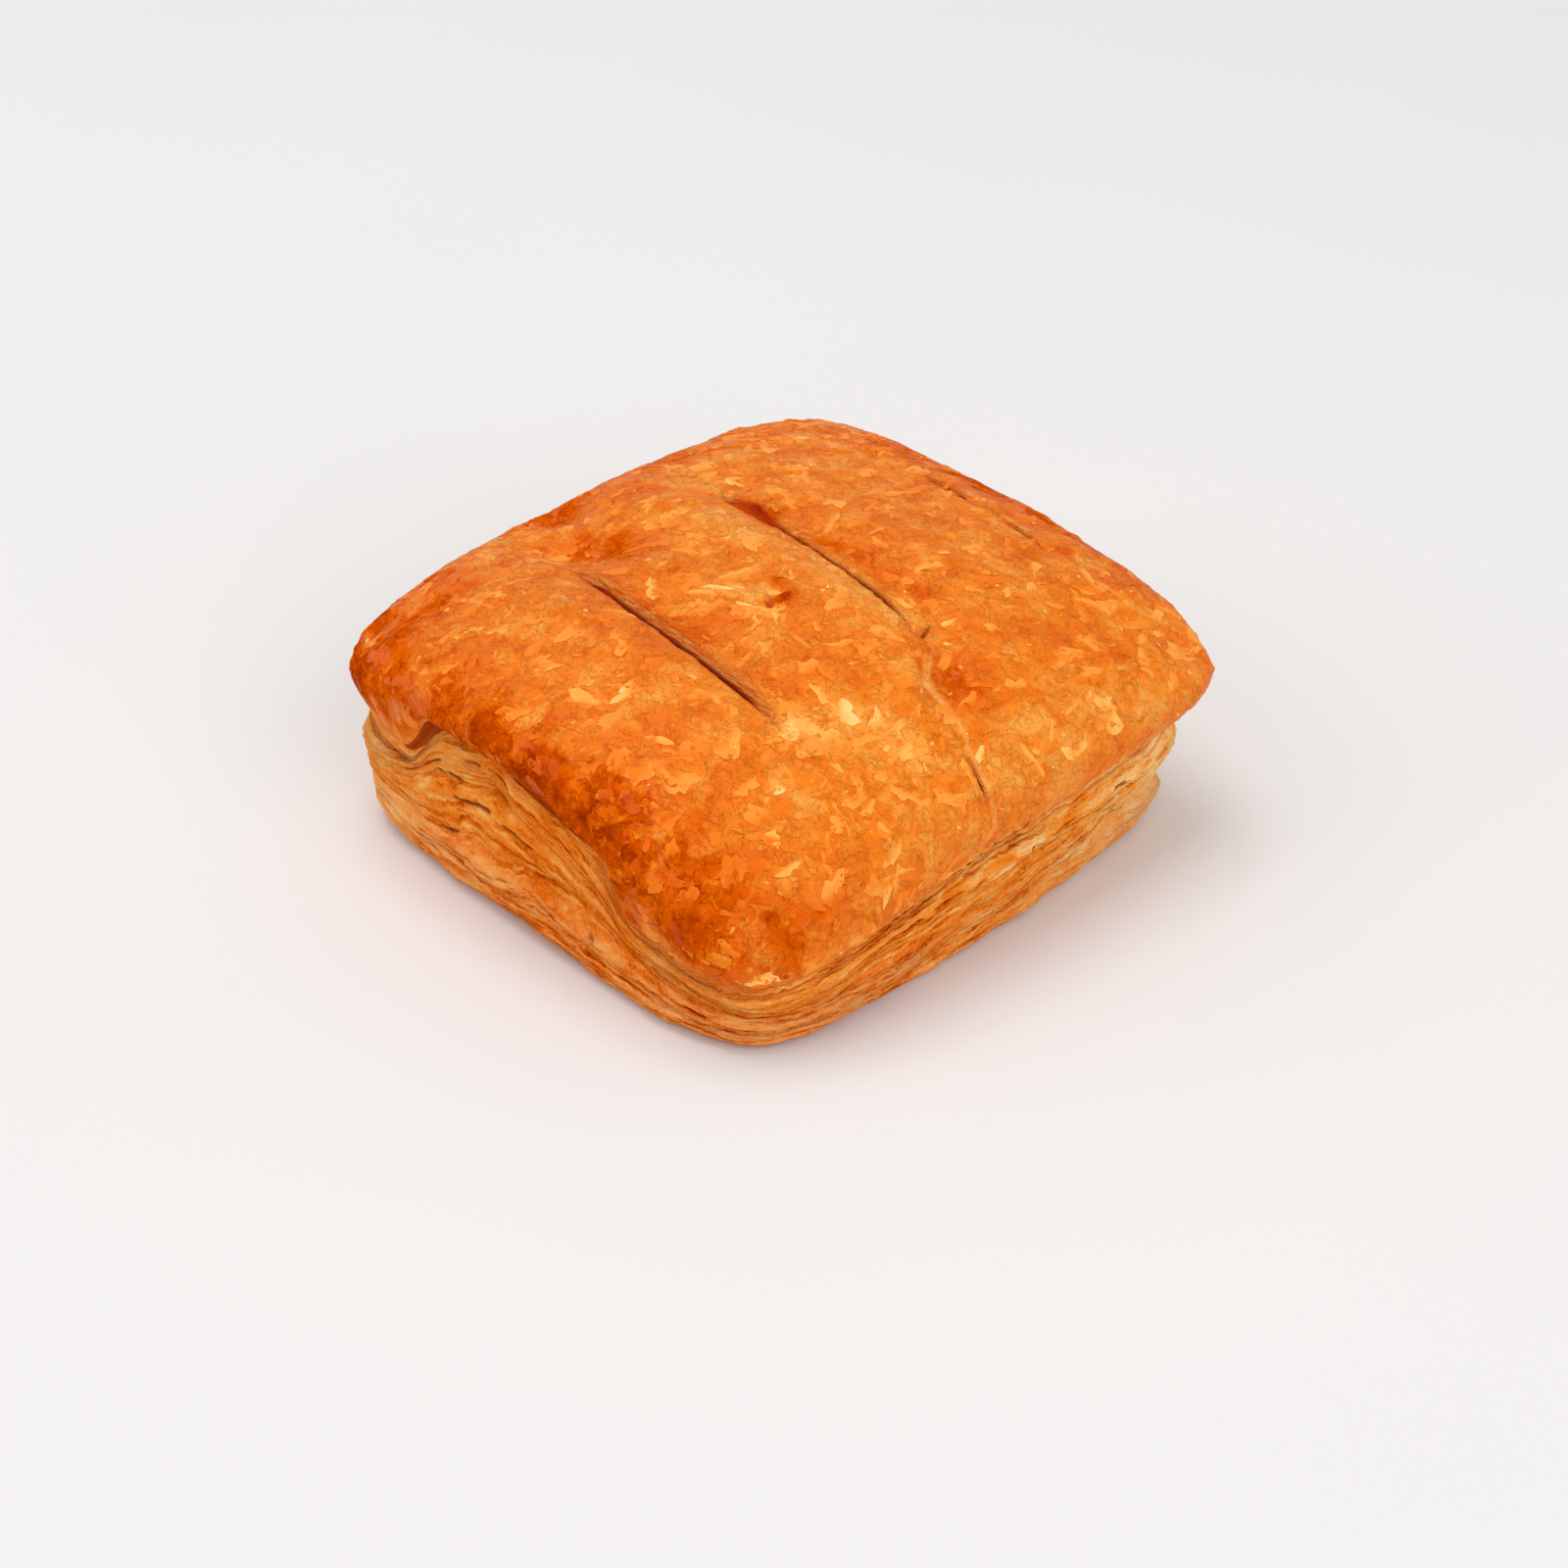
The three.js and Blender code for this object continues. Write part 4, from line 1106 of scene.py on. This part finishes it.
def baked_material():
    """The crust and the layers, which change over at the crust's ragged lower edge."""
    g = Graph("baked_pastry")
    place = g.place()
    crust, crust_height, crust_roughness = crust_colour(g, place)
    layers, layer_height = layer_colour(g, place)
    ragged = g.centred(g.noise(place, 0.9, 4, 0.65))
    above = g.math("DIVIDE", g.add_up(g.field("skin"), (ragged, 1.6)), g.field("edge_fade"))
    on_crust = g.step(above, -0.5, 0.5)
    # Painted highlight on the crust just above its lower edge.
    rim = g.times(g.step(above, 5.0, 0.0), g.field("rim_light"))
    crust = g.mix(rim, crust, PALE_CRUST)
    colour = g.mix(on_crust, layers, crust)
    height = g.add("Mix", {0: on_crust, 2: layer_height, 3: crust_height}).outputs[0]
    roughness = g.add("Mix", {0: on_crust, 2: 0.7, 3: crust_roughness}).outputs[0]
    glazed = g.times(on_crust, g.step(g.field("brown"), *MATTE_TO_GLAZED))
    bump = g.add("Bump", {"Strength": 0.8, "Distance": 0.0004, "Height": height})
    return g.finish({"Base Color": colour, "Roughness": roughness, "Normal": bump.outputs["Normal"],
                     "Specular IOR Level": g.times(glazed, SHEEN)})


def flake_material():
    g = Graph("crust_flakes")
    place = g.place()
    grain = g.noise(place, 0.9, 4, 0.6)
    tone = g.add_up(g.field("brown"), (g.centred(grain), 0.25))
    bump = g.add("Bump", {"Strength": 0.4, "Distance": 0.0002, "Height": grain})
    return g.finish({"Base Color": g.ramp(tone, CRUST_TONES), "Roughness": 0.4,
                     "Normal": bump.outputs["Normal"], "Specular IOR Level": SHEEN})


def floor_material():
    g = Graph("pale_floor")
    grain = g.noise(g.add("TexCoord").outputs["Object"], 6.0, 2)
    colour = g.mix(grain, srgb(228, 227, 227), srgb(232, 231, 231))
    return g.finish({"Base Color": colour, "Roughness": 0.8, "Specular IOR Level": 0.2})


# Painted highlight on the crust just above its lower edge: how pale it is there, round the rim.
RIM_LIGHT = [0.0, 0.1, 0.15, 0.4, 0.4, 0.25, 0.25, 0.25]

SHADER_FIELDS = [
    "brown", "mottled", "torn", "painted_shade", "ridge", "glow", "skin", "edge_fade", "rim_light",
    "rim_x", "rim_y", "stack", "gap", "crumbly", "paleness", "peach",
]


def build_pastry():
    """The pastry's three pieces: its crust, its layers with the foot, and the crust's flakes."""
    shell = Shell()
    fields = shell.fields
    height, brown, mottled = crust_relief(shell.points, fields["torn"], fields["painted_shade"])
    relief, layer_fields = layer_relief(fields)
    level, turn = fields["level"], fields["turn"]
    above_foot = ease(shell.points[:, 2], 0, FOOT_FADE)
    on_crust = ease(fields["skin"], *EDGE_BLEND)
    moved = lerp(relief, height, on_crust)
    shell.points = shell.points + shell.normals() * (moved * above_foot)[:, None]
    shell.points[:, 2] = np.maximum(shell.points[:, 2], 0)
    shell.points[shell.foot_ring, 2] = 0
    fields.update(layer_fields)
    fields["brown"] = brown
    fields["mottled"] = mottled
    fields["paleness"] = around_rim(LAYER_PALENESS, turn) + np.interp(level, *LEVEL_PALENESS_AND_SHADE)
    fields["paleness"] += 0.1 * layer_fields["stand_out"]
    fields["peach"] = around_rim(PEACH, turn) * np.interp(level, *LEVEL_PEACH)
    soft = soft_corner_share(turn)
    fields["skin"] = fields["skin"] - SOFT_CORNER["shift"] * soft
    fields["edge_fade"] = lerp(EDGE_FADE, SOFT_CORNER["fade"], soft)
    fields["rim_light"] = around_rim(RIM_LIGHT, turn)
    material = baked_material()
    shown = {name: fields[name] for name in SHADER_FIELDS}
    crust = shell_piece("crust", shell.points, shell.crust_faces, shown)
    layers = shell_piece("layers", shell.points, shell.layer_faces, shown,
                         hub=(shell.foot_ring, FOOT_HUB))
    flakes = build_flakes(shell, np.maximum(fields["torn"], fields["painted_shade"]))
    crust.data.materials.append(material)
    layers.data.materials.append(material)
    flakes.data.materials.append(flake_material())
    for piece in (crust, layers, flakes):
        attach(piece, "root")
        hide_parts("pastry")


# The floor's side, in metres.
FLOOR_SIZE = 6

# Square area lights that face the pastry: name, place and side in metres, power in watts, colour.
LIGHTS = [
    ("softbox", (-0.45, -0.05, 1.5), 1.0, 9.5, (1, 0.99, 0.975)),
    ("right_fill", (1.2, -0.3, 0.7), 1.2, 9.0, (1, 0.985, 0.97)),
    ("left_fill", (-0.8, -1.2, 0.7), 1.2, 4.6, (1, 0.985, 0.97)),
]
SKY_COLOUR = (1, 0.995, 0.985, 1)
SKY_STRENGTH = 0.56


def build_stage():
    bpy.ops.mesh.primitive_plane_add(size=FLOOR_SIZE)
    floor = bpy.context.object
    floor.name = "floor"
    floor.data.materials.append(floor_material())


def add_light(name, place, size, power, colour):
    data = bpy.data.lights.new(name, "AREA")
    data.size = size
    data.energy = power
    data.color = colour
    light = add_object(name, data)
    light.location = place
    light.rotation_euler = (-Vector(place)).to_track_quat("-Z", "Y").to_euler()


def light_scene():
    for light in LIGHTS:
        add_light(*light)
    world = bpy.data.worlds.new("studio")
    world.use_nodes = True
    background = world.node_tree.nodes["Background"]
    background.inputs["Color"].default_value = SKY_COLOUR
    background.inputs["Strength"].default_value = SKY_STRENGTH
    bpy.context.scene.world = world
    bpy.context.scene.view_settings.view_transform = "Standard"


# The camera, fitted to the photo's outline: degrees, metres, pixels of the square picture, and the
# sensor's width in millimetres.
CAMERA_AZIMUTH = 47.0
CAMERA_ELEVATION = 32.3
CAMERA_DISTANCE = 0.4273
CAMERA_TARGET = Vector((0.0096, -0.0079, 0.0115))
IMAGE_SIZE = 1600
FOCAL_PIXELS = 3050
SENSOR = 36


def add_camera():
    azimuth, elevation = math.radians(CAMERA_AZIMUTH), math.radians(CAMERA_ELEVATION)
    right = Vector((math.cos(azimuth), math.sin(azimuth), 0))
    level = math.cos(elevation)
    back = Vector((math.sin(azimuth) * level, -math.cos(azimuth) * level, math.sin(elevation)))
    up = back.cross(right)
    data = bpy.data.cameras.new("camera")
    data.sensor_width = SENSOR
    data.lens = SENSOR * FOCAL_PIXELS / IMAGE_SIZE
    camera = add_object("camera", data)
    axes = Matrix((right, up, back)).transposed().to_4x4()
    camera.matrix_world = Matrix.Translation(CAMERA_TARGET + back * CAMERA_DISTANCE) @ axes
    bpy.context.scene.camera = camera


build_pastry()
build_stage()
light_scene()
add_camera()
